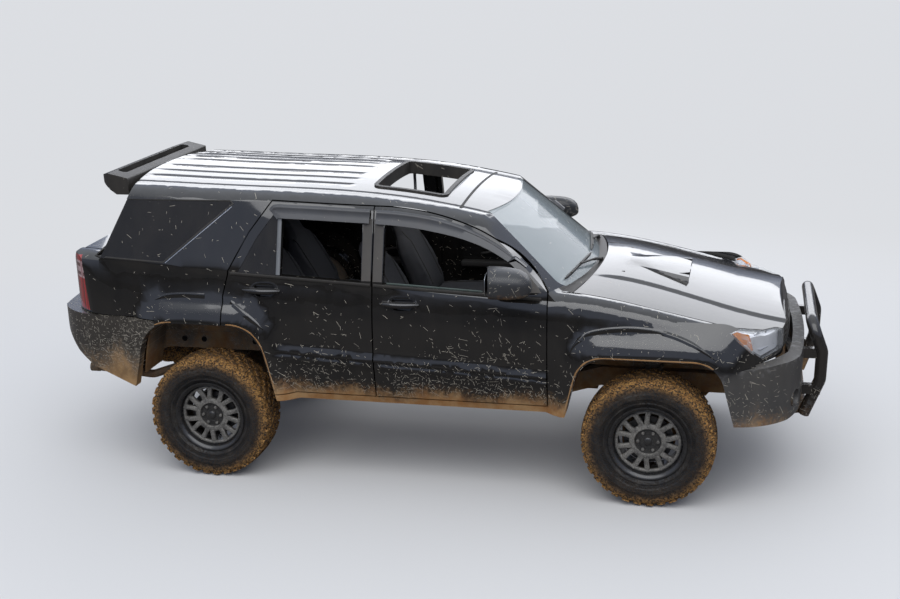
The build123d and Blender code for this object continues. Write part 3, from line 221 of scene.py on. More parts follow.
def start_material(name):
    material = bpy.data.materials.new(name)
    material.use_nodes = True
    t = Tree(material.node_tree)
    shader = next(n for n in t.tree.nodes if n.type == "BSDF_PRINCIPLED")
    materials[name] = material
    return t, shader, t.node("ShaderNodeTexCoord").outputs["Object"]


def spattered(t, coords, low, high, straws, dust):
    inputs = {"Vector": coords, "Low": low, "High": high, "Straws": straws, "Dust": dust}
    group = t.node("ShaderNodeGroup", inputs, node_tree=SPATTER).outputs
    return group["Mud"], group["Flecks"], group["Dust"], group["Height"]


def soiled(name, slot, colour, rough, low, high, straws, dust, metallic=0.0, coat=0.0, grain=0.0,
           grain_scale=300.0, wear=0.0, mud_bump=0.5, mud_tone=MUD):
    """A finish with dried mud, straws and dust over it."""
    t, shader, coords = start_material(name)
    mud, flecks, film, height = spattered(t, coords, low, high, straws, dust)
    mud_colour = t.mix(t.spread(t.noise(coords, 9.0, 6.0, 0.6), 0.35, 0.65), mud_tone, DRY_MUD)
    shade = tuple(0.86 * c for c in colour)
    surface = t.mix(t.spread(t.noise(coords, 5.0), 0.3, 0.7), colour, shade)
    if wear:
        edge = t.first("ShaderNodeGroup", {"Vector": coords, "Amount": wear}, node_tree=WEAR)
        surface = t.mix(edge, surface, (0.4, 0.4, 0.4))
    for share, tone in ((film, DUST), (flecks, STRAW), (mud, mud_colour)):
        surface = t.mix(share, surface, tone)
    covered = t.most(mud, flecks)
    normal = t.bump(height, mud_bump, 0.004)
    if grain:
        normal = t.bump(t.noise(coords, grain_scale, 2.0), grain, 0.001, Normal=normal)
    t.fill(shader, {
        "Base Color": surface, "Roughness": t.blend(covered, t.plus(rough, t.times(film, 1.1)), 0.86),
        "Normal": normal,
    })
    if metallic:
        t.fill(shader, {"Metallic": t.blend(covered, metallic, 0.0)})
    if coat:
        t.fill(shader, {"Coat Weight": t.blend(covered, coat, 0.0), "Coat Roughness": 0.03})


def glass(name, tint, alpha, rough=0.02, straws=0.35):
    """Glass as a thin tinted gloss sheet, with dust and straws on it."""
    t, shader, coords = start_material(name)
    _, flecks, film, _ = spattered(t, coords, 0.2, 0.5, straws, 0.08)
    dirt = t.most(flecks, t.times(film, 0.9))
    t.fill(shader, {
        "Base Color": t.mix(flecks, t.mix(film, tint, DUST), STRAW),
        "Roughness": t.blend(dirt, rough, 0.7), "Alpha": t.blend(dirt, alpha, 0.97),
    })


BLACK_PAINT = (0.0045, 0.0047, 0.0055)
# slot: finish, colour, roughness, where mud starts and ends, straws, dust, and what else it has
finish_rows = {
    "body_paint": (
        ("gloss_paint", BLACK_PAINT, 0.06, 0.585, 0.72, 0.42, 0.05, dict(coat=1.0, mud_bump=0.25)),
        ("mud_line", (0.36, 0.175, 0.05), 0.85, 0.3, 0.9, 0.2, 0.3, dict(grain=0.6, grain_scale=160.0)),
        ("roof_paint", BLACK_PAINT, 0.08, 0.2, 0.5, 0.1, 0.1, dict(coat=1.0, mud_bump=0.2)),
        ("bumper_paint", (0.01, 0.01, 0.011), 0.14, 0.62, 0.9, 1.1, 0.22,
         dict(coat=0.8, mud_bump=0.4, mud_tone=(0.26, 0.155, 0.07))),
        ("gloss_trim", (0.006, 0.006, 0.007), 0.08, 0.0, 0.1, 0.3, 0.04, dict(coat=1.0)),
    ),
    "satin_grey": (
        ("satin_cover", (0.045, 0.047, 0.05), 0.42, 0.45, 0.66, 0.45, 0.22, dict(grain=0.05, wear=0.5)),
        ("bar_coat", (0.008, 0.008, 0.009), 0.16, 0.3, 0.62, 0.3, 0.1, dict(coat=0.6, wear=0.35)),
        ("grey_bar", (0.2, 0.21, 0.22), 0.35, 0.0, 0.1, 0.1, 0.1, dict(metallic=0.3)),
        ("bright_metal", (0.62, 0.63, 0.65), 0.2, 0.0, 0.1, 0.05, 0.08, dict(metallic=1.0)),
        ("mirror_cover", (0.036, 0.038, 0.042), 0.34, 1.28, 1.372, 0.34, 0.05,
         dict(grain=0.05, mud_tone=(0.48, 0.2, 0.035))),
        ("white_plate", (0.55, 0.55, 0.53), 0.45, 0.5, 1.3, 0.3, 0.2, {}),
    ),
    "black_trim": (
        ("satin_black", (0.012, 0.012, 0.013), 0.38, 0.45, 0.8, 0.25, 0.15, dict(grain=0.08)),
        ("liner_plastic", (0.02, 0.018, 0.016), 0.75, 0.55, 1.25, 0.3, 0.55, dict(grain=0.2, grain_scale=60.0)),
        ("tank_plastic", (0.022, 0.022, 0.022), 0.6, 0.4, 0.75, 0.2, 0.5, dict(grain=0.1)),
        ("smoked_trim", (0.06, 0.064, 0.072), 0.26, 0.0, 0.1, 0.25, 0.1, dict(grain=0.04)),
        ("satin_trim", (0.05, 0.047, 0.045), 0.4, 0.0, 0.1, 0.22, 0.18, dict(grain=0.05)),
        ("seal_rubber", (0.01, 0.01, 0.01), 0.55, 0.0, 0.1, 0.15, 0.12, dict(grain=0.05)),
        ("bright_trim", (0.6, 0.62, 0.64), 0.35, 0.0, 0.1, 0.05, 0.08, {}),
    ),
    "frame_paint": (
        ("frame_paint", (0.03, 0.027, 0.024), 0.55, 0.5, 1.35, 0.3, 0.5,
         dict(grain=0.1, grain_scale=90.0, wear=0.4)),
        # near-black and rough: painted shade, put in holes where the inside lies in shadow
        ("painted_hole_shade", (0.002, 0.002, 0.002), 0.9, 0.0, 0.1, 0.0, 0.0, {}),
    ),
    "under_steel": (
        ("steel_under", (0.075, 0.06, 0.048), 0.5, 0.35, 0.95, 0.2, 0.5,
         dict(metallic=0.6, grain=0.2, grain_scale=80.0)),
        ("pipe_steel", (0.2, 0.15, 0.11), 0.42, 0.35, 0.75, 0.2, 0.4,
         dict(metallic=0.8, grain=0.15, grain_scale=70.0)),
        ("spring_paint", (0.055, 0.05, 0.045), 0.45, 0.35, 1.05, 0.2, 0.4, dict(grain=0.1)),
    ),
    "dash_plastic": (
        ("dash_plastic", (0.018, 0.018, 0.019), 0.55, 0.0, 0.2, 0.0, 0.12, dict(grain=0.35, grain_scale=420.0)),
        ("cabin_trim", (0.03, 0.03, 0.031), 0.7, 0.0, 0.2, 0.0, 0.12, dict(grain=0.25, grain_scale=260.0)),
        ("wheel_leather", (0.018, 0.018, 0.019), 0.5, 0.0, 0.1, 0.0, 0.05, dict(grain=0.4, grain_scale=380.0)),
        ("pale_plastic", (0.5, 0.5, 0.48), 0.5, 0.0, 0.1, 0.0, 0.08, dict(grain=0.1)),
        ("gloss_plastic", (0.012, 0.012, 0.013), 0.22, 0.0, 0.1, 0.0, 0.1, {}),
        ("dial_face", (0.02, 0.022, 0.028), 0.12, 0.0, 0.1, 0.0, 0.04, dict(coat=1.0)),
    ),
    "engine_metal": (
        ("engine_cast", (0.1, 0.1, 0.1), 0.5, 0.3, 0.8, 0.1, 0.4,
         dict(metallic=0.7, grain=0.3, grain_scale=120.0)),
    ),
    "seat_cloth": (
        ("seat_cloth", (0.05, 0.052, 0.06), 0.9, 0.0, 0.1, 0.0, 0.1, dict(grain=0.5, grain_scale=520.0)),
    ),
    "dark_glass": (("mirror_glass", (0.6, 0.62, 0.64), 0.04, 0.0, 0.1, 0.05, 0.04, dict(metallic=1.0)),),
    "lamp_glass": (
        ("chrome", (0.8, 0.81, 0.83), 0.1, 0.0, 0.1, 0.0, 0.03, dict(metallic=1.0)),
        ("amber_lens", (0.85, 0.26, 0.02), 0.12, 0.0, 0.1, 0.0, 0.05, dict(coat=1.0)),
        ("lamp_silver", (0.86, 0.87, 0.89), 0.24, 0.0, 0.1, 0.0, 0.03, dict(metallic=0.25)),
    ),
}
for slot, rows in finish_rows.items():
    for name, *values, more in rows:
        soiled(name, slot, *values, **more)
glass("glass_edge", (0.17, 0.22, 0.2), 0.8, straws=0.2)
# the windscreen's pale bluish tint at half opacity is a painted reflection of the sky over clear glass
glass("screen_glass", (0.46, 0.52, 0.53), 0.5, 0.06)
glass("dark_glass", (0.006, 0.006, 0.007), 0.86)
glass("lamp_glass", (0.75, 0.77, 0.78), 0.13, straws=0.15)

# the frame's own pieces that stay in view
node_finishes = {
    "frame_paint": "ladder_frame", "cabin_trim": "floor_pan", "satin_black": "cowl sunroof_seal grille",
    "dark_glass": "sunroof_glass quarter_glass vent_glass_left vent_glass_right tailgate_glass",
    "screen_glass": "windscreen", "bar_coat": "bull_bar", "liner_plastic": "arch_liners",
    "dash_plastic": "dashboard", "engine_cast": "engine_block", "pipe_steel": "exhaust",
    "tank_plastic": "fuel_tank", "wheel_leather": "steering_wheel",
    "steel_under": "front_suspension rear_axle driveline knuckle_left knuckle_right",
}
for finish, names in node_finishes.items():
    for name in names.split():
        nodes[name].data.materials.clear()
        nodes[name].data.materials.append(materials[finish])


def make_rim_finish():
    """Black wheel, its forked face greyed by a film of dry dust."""
    t, shader, coords = start_material("rim_finish")
    zone = t.node("ShaderNodeAttribute", attribute_name="reach").outputs["Fac"]
    fine = t.noise(coords, 150.0, 3.0, 0.7)
    film = t.times(zone, t.blend(t.spread(t.noise(coords, 34.0, 5.0, 0.7), 0.34, 0.62), 0.45, 0.95))
    tone = t.mix(t.spread(fine, 0.4, 0.65), (0.3, 0.285, 0.255), (0.13, 0.12, 0.105))
    crumbs = t.times(t.spread(fine, 0.66, 0.72), 0.8)
    t.fill(shader, {
        "Base Color": t.mix(crumbs, t.mix(film, (0.011, 0.011, 0.013), tone), (0.42, 0.24, 0.08)),
        "Roughness": t.blend(t.most(film, crumbs), 0.24, 0.85),
        "Coat Weight": t.blend(film, 0.5, 0.0), "Normal": t.bump(t.times(film, fine), 0.4, 0.002),
    })


def make_tyre_finish():
    """Rubber with ochre mud packed in the tread and spattered over the sidewall."""
    t, shader, coords = start_material("tyre_mud")
    reach = t.node("ShaderNodeAttribute", attribute_name="reach").outputs["Fac"]
    lumps = t.noise(coords, 24.0, 6.0, 0.72)
    specks = t.noise(coords, 95.0, 3.0, 0.7)
    packed = t.spread(t.plus(reach, t.times(t.minus(lumps, 0.5), 0.1)), 0.325, 0.385)
    bare = t.spread(t.plus(reach, t.times(t.minus(specks, 0.5), 0.022)), 0.3985, 0.406)
    spots = t.spread(t.plus(specks, t.times(reach, 0.55)), 0.66, 0.74)
    cover = t.most(t.minus(packed, t.times(bare, 0.85), True), t.times(spots, 0.9))
    tone = t.mix(t.spread(lumps, 0.35, 0.65), (0.56, 0.3, 0.085), (0.37, 0.185, 0.055))
    tone = t.mix(t.spread(specks, 0.44, 0.58), tone, (0.04, 0.028, 0.02))
    rubber = t.mix(t.spread(t.noise(coords, 12.0), 0.4, 0.7), (0.017, 0.017, 0.018), (0.055, 0.048, 0.04))
    height = t.plus(t.times(cover, t.plus(specks, lumps)), t.times(specks, 0.15))
    t.fill(shader, {
        "Base Color": t.mix(cover, rubber, tone), "Roughness": t.blend(cover, 0.62, 0.8),
        "Normal": t.bump(height, 0.9, 0.006),
    })


def make_seat_mesh():
    """Pale open-weave cloth: two crossed waves of thread over a grey ground."""
    t, shader, coords = start_material("seat_mesh")
    x, y, z = t.split(coords)
    up = t.math("SINE", t.times(t.minus(z, t.times(x, 0.6)), 820.0))
    weave = t.times(up, t.math("SINE", t.times(y, 900.0)))
    tone = t.mix(t.spread(t.noise(coords, 8.0), 0.35, 0.65), (0.34, 0.36, 0.4), (0.48, 0.5, 0.55))
    t.fill(shader, {
        "Base Color": t.mix(t.spread(weave, -0.3, 0.5), (0.075, 0.08, 0.09), tone),
        "Roughness": 0.92, "Normal": t.bump(weave, 0.4, 0.001),
    })


def make_tail_lens():
    """Red lens with fine vertical ribs, pale in its upper part with two dark bulbs."""
    t, shader, coords = start_material("tail_lens")
    x, y, z = t.split(coords)
    upper = t.times(t.spread(z, 1.285, 1.295), t.spread(z, 1.395, 1.405, 1.0, 0.0))
    ribs = t.math("SINE", t.times(t.plus(y, x), 700.0))
    pale = t.mix(t.spread(ribs, -0.6, 0.6), (0.5, 0.26, 0.27), (0.8, 0.55, 0.55))
    red = t.mix(t.spread(ribs, -0.8, 0.8), (0.26, 0.006, 0.01), (0.55, 0.02, 0.026))
    bulbs = [t.spread(t.math("ABSOLUTE", t.minus(z, height)), 0.01, 0.014, 1.0, 0.0) for height in (1.315, 1.372)]
    dots = t.times(t.most(*bulbs), t.spread(ribs, 0.1, 0.5))
    surface = t.mix(upper, red, t.mix(dots, pale, (0.2, 0.06, 0.06)))
    t.fill(shader, {
        "Base Color": t.mix(t.times(t.noise(coords, 14.0, 5.0), 0.12), surface, DUST),
        "Roughness": 0.1, "Coat Weight": 1.0, "Normal": t.bump(ribs, 0.25, 0.001),
    })


for make_finish in (make_rim_finish, make_tyre_finish, make_seat_mesh, make_tail_lens):
    make_finish()


# ---------------------------------------------------------------- mesh tools
def new_piece(name, mesh, finish, body="chassis", replaced=()):
    piece = bpy.data.objects.new(name, mesh)
    bpy.context.scene.collection.objects.link(piece)
    mesh.materials.clear()
    mesh.materials.append(materials[finish])
    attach(piece, body)
    if replaced:
        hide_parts(*replaced)
    return piece


def plain_mesh(bm):
    mesh = bpy.data.meshes.new("part")
    bm.to_mesh(mesh)
    bm.free()
    return mesh


def to_mesh(bm, angle=35):
    mesh = plain_mesh(bm)
    mesh.shade_smooth()
    mesh.set_sharp_from_angle(angle=math.radians(angle))
    return mesh


def join(parts, angle=35):
    """Several parts made one mesh, and freed."""
    bm = bmesh.new()
    for part in parts:
        mesh = plain_mesh(part) if isinstance(part, bmesh.types.BMesh) else part
        bm.from_mesh(mesh)
        bpy.data.meshes.remove(mesh)
    return to_mesh(bm, angle)


def node_copy(name):
    """A node's triangles, merged into a closed skin."""
    bm = bmesh.new()
    bm.from_mesh(nodes[name].data)
    bmesh.ops.remove_doubles(bm, verts=bm.verts, dist=0.0001)
    return bm


def slice_up(bm, planes):
    """Cut the faces along planes, each a point and a normal."""
    for point, normal in planes:
        geometry = bm.verts[:] + bm.edges[:] + bm.faces[:]
        bmesh.ops.bisect_plane(bm, geom=geometry, dist=1e-5, plane_co=point, plane_no=normal)


def grid_planes(low, high, step, axis):
    """Parallel planes across one axis, a step apart."""
    normal = tuple(float(k == axis) for k in range(3))
    marks = [low + number * step for number in range(1, int((high - low) / step))]
    return [(tuple(mark * n for n in normal), normal) for mark in marks]


def vectors(items, field):
    values = np.empty(len(items) * 3)
    items.foreach_get(field, values)
    return values.reshape(-1, 3)


def evened(normals):
    return normals / np.maximum(np.linalg.norm(normals, axis=1, keepdims=True), 1e-9)


def soften(mesh, sharp=26, rounds=10, shape=None):
    """Even out the shading across soft edges, then press the shape into the skin and its shading."""
    bm = bmesh.new()
    bm.from_mesh(mesh)
    hard = [e for e in bm.edges if len(e.link_faces) != 2 or e.calc_face_angle(0) > math.radians(sharp)]
    bmesh.ops.split_edges(bm, edges=hard)
    cut = plain_mesh(bm)
    normals = vectors(cut.vertices, "normal")
    ends = np.empty(len(cut.edges) * 2, dtype=int)
    cut.edges.foreach_get("vertices", ends)
    ends = ends.reshape(-1, 2)
    for _ in range(rounds):
        total = normals.copy()
        np.add.at(total, ends[:, 0], normals[ends[:, 1]])
        np.add.at(total, ends[:, 1], normals[ends[:, 0]])
        normals = evened(total)
    if shape:
        flat_normals = vectors(cut.vertices, "normal")
        for sheet in (cut, mesh):
            for vert in sheet.vertices:
                point = vert.co.copy()
                shape(point)
                vert.co = point
            sheet.update()
        normals = evened(normals + vectors(cut.vertices, "normal") - flat_normals)
    corners = np.empty(len(cut.loops), dtype=int)
    cut.loops.foreach_get("vertex_index", corners)
    mesh.shade_smooth()
    mesh.normals_split_custom_set(normals[corners].tolist())
    bpy.data.meshes.remove(cut)


def circle(count):
    return [2 * math.pi * k / count for k in range(count)]


def bulge(value, power):
    """A number raised to a power, its sign kept: it squares off a circle."""
    return math.copysign(abs(value) ** power, value)


def stack(rings, loop=False, strip=False, ends=(0, -1), pole=False, outward=True):
    """Sections joined one to the next. A strip's sections stay open, and a pole's points are merged.

    Without outward the faces' normals are left unset.
    """
    bm = bmesh.new()
    rings = [[bm.verts.new(point) for point in ring] for ring in rings]
    width = len(rings[0])
    for ring, after in zip(rings, rings[1:] + (rings[:1] if loop else [])):
        for k in range(width - strip):
            j = (k + 1) % width
            bm.faces.new((ring[k], ring[j], after[j], after[k]))
    for end in () if loop else ends:
        bm.faces.new(rings[end])
    if pole:
        bmesh.ops.remove_doubles(bm, verts=bm.verts, dist=1e-6)
    if outward:
        bmesh.ops.recalc_face_normals(bm, faces=bm.faces)
    return bm


def lathe(profile, steps):
    """A profile of (radius, y) turned about an axle along Y; one that starts on the axle stays open there."""
    rings = [[(r * math.cos(a), y, r * math.sin(a)) for r, y in profile] for a in circle(steps)]
    on_axle = profile[0][0] == 0
    return stack(rings, True, on_axle, pole=on_axle)


def prism(outline, low, high, axis="y", shrink=0.0):
    """An outline made solid between two levels of one axis, with its far face drawn in."""
    mid_a, mid_b = (sum(p[k] for p in outline) / len(outline) for k in (0, 1))
    rings = []
    for level, drawn in ((low, 0.0), (high, shrink)):
        rings.append([])
        for a, b in outline:
            k = 1 - drawn / max(math.hypot(a - mid_a, b - mid_b), 1e-6)
            a, b = mid_a + (a - mid_a) * k, mid_b + (b - mid_b) * k
            rings[-1].append((level, a, b) if axis == "x" else (a, level, b))
    return stack(rings)


def bevelled(bm, width=0.003, segments=2, angle=30):
    """Round off the sharper edges of a block."""
    sharp = [e for e in bm.edges if len(e.link_faces) == 2 and e.calc_face_angle(0) > math.radians(angle)]
    bmesh.ops.bevel(
        bm, geom=sharp, offset=width, offset_type="OFFSET", segments=segments, profile=0.5,
        affect="EDGES", clamp_overlap=True,
    )
    return bm


def block(centre, size, width=0.003, segments=2, turn=None):
    """A box with rounded edges, turned about its middle if asked."""
    bm = bmesh.new()
    bmesh.ops.create_cube(bm, size=1.0)
    bmesh.ops.scale(bm, verts=bm.verts, vec=size)
    bevelled(bm, width, segments)
    return put(bm, moved(*centre) @ (turn or Matrix.Identity(4)))


def cone(segments, low, high, depth):
    bm = bmesh.new()
    bmesh.ops.create_cone(bm, cap_ends=True, segments=segments, radius1=low, radius2=high, depth=depth)
    return bm


def tube(path, radius, sides=12, closed=False, flat=1.0):
    """A round bar along points; radius may be one number or one a point."""
    points = [Vector(p) for p in path]
    count = len(points)
    radii = [float(r) for r in (radius if hasattr(radius, "__len__") else [radius] * count)]
    rings = []
    normal = None
    for i, point in enumerate(points):
        before = points[(i - 1) % count] if closed or i else point
        after = points[(i + 1) % count] if closed or i < count - 1 else point
        tangent = (after - before).normalized()
        guide = normal or (Vector((0, 0, 1)) if abs(tangent.z) < 0.9 else Vector((1, 0, 0)))
        normal = (guide - tangent * guide.dot(tangent)).normalized()
        side = tangent.cross(normal)
        rings.append([
            point + radii[i] * (math.cos(a) * normal * flat + math.sin(a) * side) for a in circle(sides)
        ])
    return stack(rings, closed)


def smooth_path(points, per_span=6):
    """Points along a smooth curve through the given ones."""
    p = [Vector(q) for q in points]
    p = [2 * p[0] - p[1]] + p + [2 * p[-1] - p[-2]]
    out = []
    for i in range(1, len(p) - 2):
        for step in range(per_span):
            t = step / per_span
            out.append(0.5 * (
                2 * p[i] + (p[i + 1] - p[i - 1]) * t
                + (2 * p[i - 1] - 5 * p[i] + 4 * p[i + 1] - p[i + 2]) * t * t
                + (3 * p[i] - p[i - 1] - 3 * p[i + 1] + p[i + 2]) * t ** 3
            ))
    out.append(p[-2])
    return out


def moved(x, y, z):
    return Matrix.Translation((x, y, z))


def turned(degrees, axis):
    return Matrix.Rotation(math.radians(degrees), 4, axis)


def put(shape, matrix):
    """Place a mesh or its draft, with its faces still outwards if it is mirrored."""
    draft = isinstance(shape, bmesh.types.BMesh)
    if draft:
        bmesh.ops.transform(shape, verts=shape.verts, matrix=matrix)
    else:
        shape.transform(matrix)
    if matrix.determinant() < 0:
        if draft:
            bmesh.ops.reverse_faces(shape, faces=shape.faces)
        else:
            shape.flip_normals()
    return shape


# ---------------------------------------------------------------- repeats by Geometry Nodes
def make_copies_tree():
    """Copies of a part in a row by equal steps, or turned about the Y axis: treads, bolts and slats."""
    t, given, shown = group_tree(
        "copies", "GeometryNodeTree",
        [("Geometry", "Geometry", None), ("Count", "Int", 10), ("Start", "Vector", None),
         ("Step", "Vector", None), ("Full Turn", "Float", 0.0), ("Start Angle", "Float", 0.0),
         ("Finish", "Material", None)],
        [("Geometry", "Geometry")],
    )
    line = t.first("GeometryNodeMeshLine", {
        "Count": given["Count"], "Start Location": given["Start"], "Offset": given["Step"],
    })
    share = t.math("DIVIDE", t.first("GeometryNodeInputIndex"), given["Count"])
    angle = t.plus(t.times(share, given["Full Turn"]), given["Start Angle"])
    turn = t.first("ShaderNodeCombineXYZ", {"Y": angle})
    copies = t.first("GeometryNodeInstanceOnPoints", {
        "Points": line, "Instance": given["Geometry"], "Rotation": turn,
    })
    real = t.first("GeometryNodeRealizeInstances", {0: copies})
    paint = t.first("GeometryNodeSetMaterial", {"Geometry": real, "Material": given["Finish"]})
    t.fill(shown, {0: paint})
    return t.tree


COPIES = make_copies_tree()


def repeated(bm, finish, **values):
    """Run the copying tree over one part and keep the plain mesh."""
    item = bpy.data.objects.new("item", plain_mesh(bm))
    bpy.context.scene.collection.objects.link(item)
    modifier = item.modifiers.new("repeat", "NODES")
    modifier.node_group = COPIES
    sockets = {s.name: s.identifier for s in COPIES.interface.items_tree if s.in_out == "INPUT"}
    for key, value in values.items():
        modifier[sockets[key.replace("_", " ").title()]] = value
    modifier[sockets["Finish"]] = materials[finish]
    graph = bpy.context.evaluated_depsgraph_get()
    mesh = bpy.data.meshes.new_from_object(item.evaluated_get(graph))
    spent = item.data
    bpy.data.objects.remove(item)
    bpy.data.meshes.remove(spent)
    return mesh


def ring_of(bm, finish, count, start_angle=0.0):
    return repeated(bm, finish, count=count, full_turn=2 * math.pi, start_angle=start_angle)


# ---------------------------------------------------------------- body skins
CREASE_SLOPE = -0.053
CREASE_START = (FRONT_AXLE - 0.598, 0.784)
# height above the crease and how far the skin stands out there
crease_rows = [
    (-0.07, 0.0), (-0.036, 0.0085), (-0.031, 0.0087), (-0.013, 0.0008), (-0.004, 0.0008),
    (0.002, 0.0165), (0.008, 0.017), (0.054, 0.0018), (0.08, 0.0),
]
crease_heights, crease_depths = zip(*crease_rows)
DOME_RISE = 0.011
ROOF_RIBS = (0.115, 0.265, 0.405)
ROOF_EDGE = 0.545
RIB_ENDS = (-1.86, -0.45)


def ramp(value, low, high):
    t = min(max((value - low) / (high - low), 0.0), 1.0)
    return t * t * (3 - 2 * t)


def door_shape(point):
    """The pressed crease along the doors."""
    if abs(point.y) < 0.85:
        return
    above = point.z - CREASE_START[1] - CREASE_SLOPE * (point.x - CREASE_START[0])
    out = float(np.interp(above, crease_heights, crease_depths))
    point.y += math.copysign(out * ramp(point.x, FRONT_AXLE - 2.36, FRONT_AXLE - 2.2), point.y)


def hood_shape(point):
    """The raised middle of the hood between two ridges, and the low air scoop."""
    if point.z < 1.0:
        return
    x, off = point.x - FRONT_AXLE, abs(point.y)
    above_scoop_foot = point.z - 1.262 + 0.21 * (x + 0.02) - 0.012
    if above_scoop_foot > 0 and off < 0.26 and -0.21 < x < 0.21:
        point.z -= 0.45 * above_scoop_foot
    half = 0.405 + 0.07 * ramp(x, -0.2, 0.66)
    point.z += DOME_RISE * (1 - ramp(off, half - 0.012, half + 0.03)) * ramp(x, -0.42, -0.2)


def roof_shape(point):
    """Two shallow pressed lines at the roof's edges and six ribs behind the sunroof."""
    off = abs(point.y)
    if point.z < 1.7 or off < 0.05:
        return
    point.z -= 0.004 * (1 - ramp(abs(off - ROOF_EDGE), 0.004, 0.016))
    start, end = RIB_ENDS
    share = ramp(point.x, start, start + 0.05) * (1 - ramp(point.x, end - 0.05, end))
    for line in ROOF_RIBS:
        point.z -= 0.0065 * (1 - ramp(abs(off - line), 0.01, 0.028)) * share


def crease_planes():
    normal = tuple(Vector((-CREASE_SLOPE, 0, 1)).normalized())
    return [((CREASE_START[0], 0, CREASE_START[1] + height), normal) for height in crease_heights]


def lengthwise_planes(levels):
    return [((0, side * level, 0), (0, 1, 0)) for side in (1, -1) for level in levels]


def hood_planes():
    return lengthwise_planes([start + step * 0.014 for step in range(-3, 5) for start in (0.42, 0.455)])


def roof_planes():
    offsets = (-0.028, -0.019, -0.01, 0, 0.01, 0.019, 0.028)
    return lengthwise_planes([line + off for line in (*ROOF_RIBS, ROOF_EDGE) for off in offsets])


def skin(node, body, finish, steps, sharp=26, extra=None, shape=None):
    """A pressed panel: the node's own surface, refined, shaped and evenly shaded."""
    low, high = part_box(node)
    bm = node_copy(node)
    planes = []
    for axis in (0, 2, 1):
        if steps[axis]:
            planes += grid_planes(low[axis], high[axis], steps[axis], axis)
    slice_up(bm, planes + (extra() if extra else []))
    mesh = plain_mesh(bm)
    soften(mesh, sharp, 10, shape)
    new_piece(node + "_skin", mesh, finish, body, (node,))


for stem, door, x_step, z_step, extra, shape in (
    ("front_door", True, 0.06, 0.05, crease_planes, door_shape),
    ("rear_door", True, 0.06, 0.05, crease_planes, door_shape),
    ("body_side", False, 0.07, 0.06, None, None), ("fender", False, 0.05, 0.04, None, None),
):
    for side_name, side in SIDES:
        node = f"{stem}_{side_name}"
        skin(node, node + "_body" if door else "chassis", "gloss_paint", (x_step, 0, z_step), 48, extra, shape)
skin("hood", "hood_body", "roof_paint", (0.05, 0.06, 0), extra=hood_planes, shape=hood_shape)
skin("roof_panel", "chassis", "roof_paint", (0.08, 0.06, 0), extra=roof_planes, shape=roof_shape)
skin("tailgate", "tailgate_body", "gloss_paint", (0.05, 0.06, 0.05))
skin("spoiler", "tailgate_body", "satin_black", (0.03, 0.05, 0))
skin("front_bumper", "chassis", "satin_cover", (0.05, 0.05, 0.05))
skin("rear_bumper", "chassis", "bumper_paint", (0.05, 0.05, 0.05))


# ---------------------------------------------------------------- tyres and rims
# Built about the origin, outer side towards -Y, then placed like the CAD wheels.
TREAD_R = 0.4045
GROOVE_R = 0.3915
RIM_HALF = 0.116
PITCHES = 34
PITCH = 2 * math.pi * TREAD_R / PITCHES
tyre_profile = [
    (0.2185, -0.102), (0.2375, -0.108), (0.244, -0.115), (0.252, -0.1195), (0.256, -0.1255),
    (0.262, -0.1262), (0.266, -0.1232), (0.285, -0.129), (0.29, -0.133), (0.318, -0.1352),
    (0.322, -0.133), (0.348, -0.1322), (0.362, -0.13), (0.374, -0.1262), (0.383, -0.12),
    (0.389, -0.109), (GROOVE_R, -0.095), (GROOVE_R + 0.001, -0.05), (GROOVE_R + 0.0015, 0.0),
]
tyre_profile += [(r, -y) for r, y in reversed(tyre_profile[:-1])]
tyre_profile += [(0.2185, 0.076), (0.232, 0.07), (0.232, -0.07), (0.2185, -0.076)]


def lug(outline):
    """One tread block: its outline is (arc length, y) on the crown."""
    mid_s, mid_y = (sum(p[k] for p in outline) / len(outline) for k in (0, 1))
    foot, crown = [], []
    for s, y in outline:
        low, high = GROOVE_R - 0.004 - 0.006 * (abs(y) > 0.11), TREAD_R - 0.0105 * (abs(y) / 0.128) ** 3
        for ring, radius, k in ((foot, low, 1.0), (crown, high, 0.9)):
            a = (mid_s + (s - mid_s) * k) / TREAD_R
            ring.append((radius * math.cos(a), mid_y + (y - mid_y) * k, radius * math.sin(a)))
    return stack([foot, crown], ends=(-1,))


def side_lug(start_r, end_r, width, y):
    """A biting block on the shoulder's side."""
    rings = []
    for radius, w, depth in ((start_r, width, -0.0035), (end_r, width * 1.1, -0.003)):
        half = w / 2 / radius
        side_y = np.interp(radius, [0.318, 0.348, 0.362, 0.374, 0.383], [0.1352, 0.1322, 0.13, 0.1262, 0.12])
        rings.append([
            (radius * math.cos(a), y * (side_y - d), radius * math.sin(a))
            for a, d in ((-half, 0.004), (-half * 0.8, depth), (half * 0.8, depth), (half, 0.004))
        ])
    return stack(rings, strip=True)


centre_lug = [
    (-0.3, 0.002), (-0.05, 0.004), (0.12, 0.02), (0.34, 0.024), (0.36, 0.04), (0.1, 0.044),
    (-0.08, 0.034), (-0.34, 0.028),
]
inner_lug = [
    (-0.38, 0.048), (0.02, 0.044), (0.1, 0.052), (0.36, 0.05), (0.34, 0.078), (0.04, 0.084),
    (-0.06, 0.074), (-0.36, 0.07),
]
outer_lug = [(-0.36, 0.092), (0.3, 0.088), (0.36, 0.126), (0.3, 0.131), (-0.3, 0.131), (-0.34, 0.126)]
short_lug = [(-0.34, 0.094), (0.28, 0.09), (0.34, 0.119), (0.28, 0.123), (-0.28, 0.123), (-0.32, 0.119)]


def with_reach(mesh, rule):
    """Store a value at each point, worked out from its distance from the axle and its y."""
    points = vectors(mesh.vertices, "co")
    values = rule(np.hypot(points[:, 0], points[:, 2]), points[:, 1])
    mesh.attributes.new("reach", "FLOAT", "POINT").data.foreach_set("value", values)
    return mesh


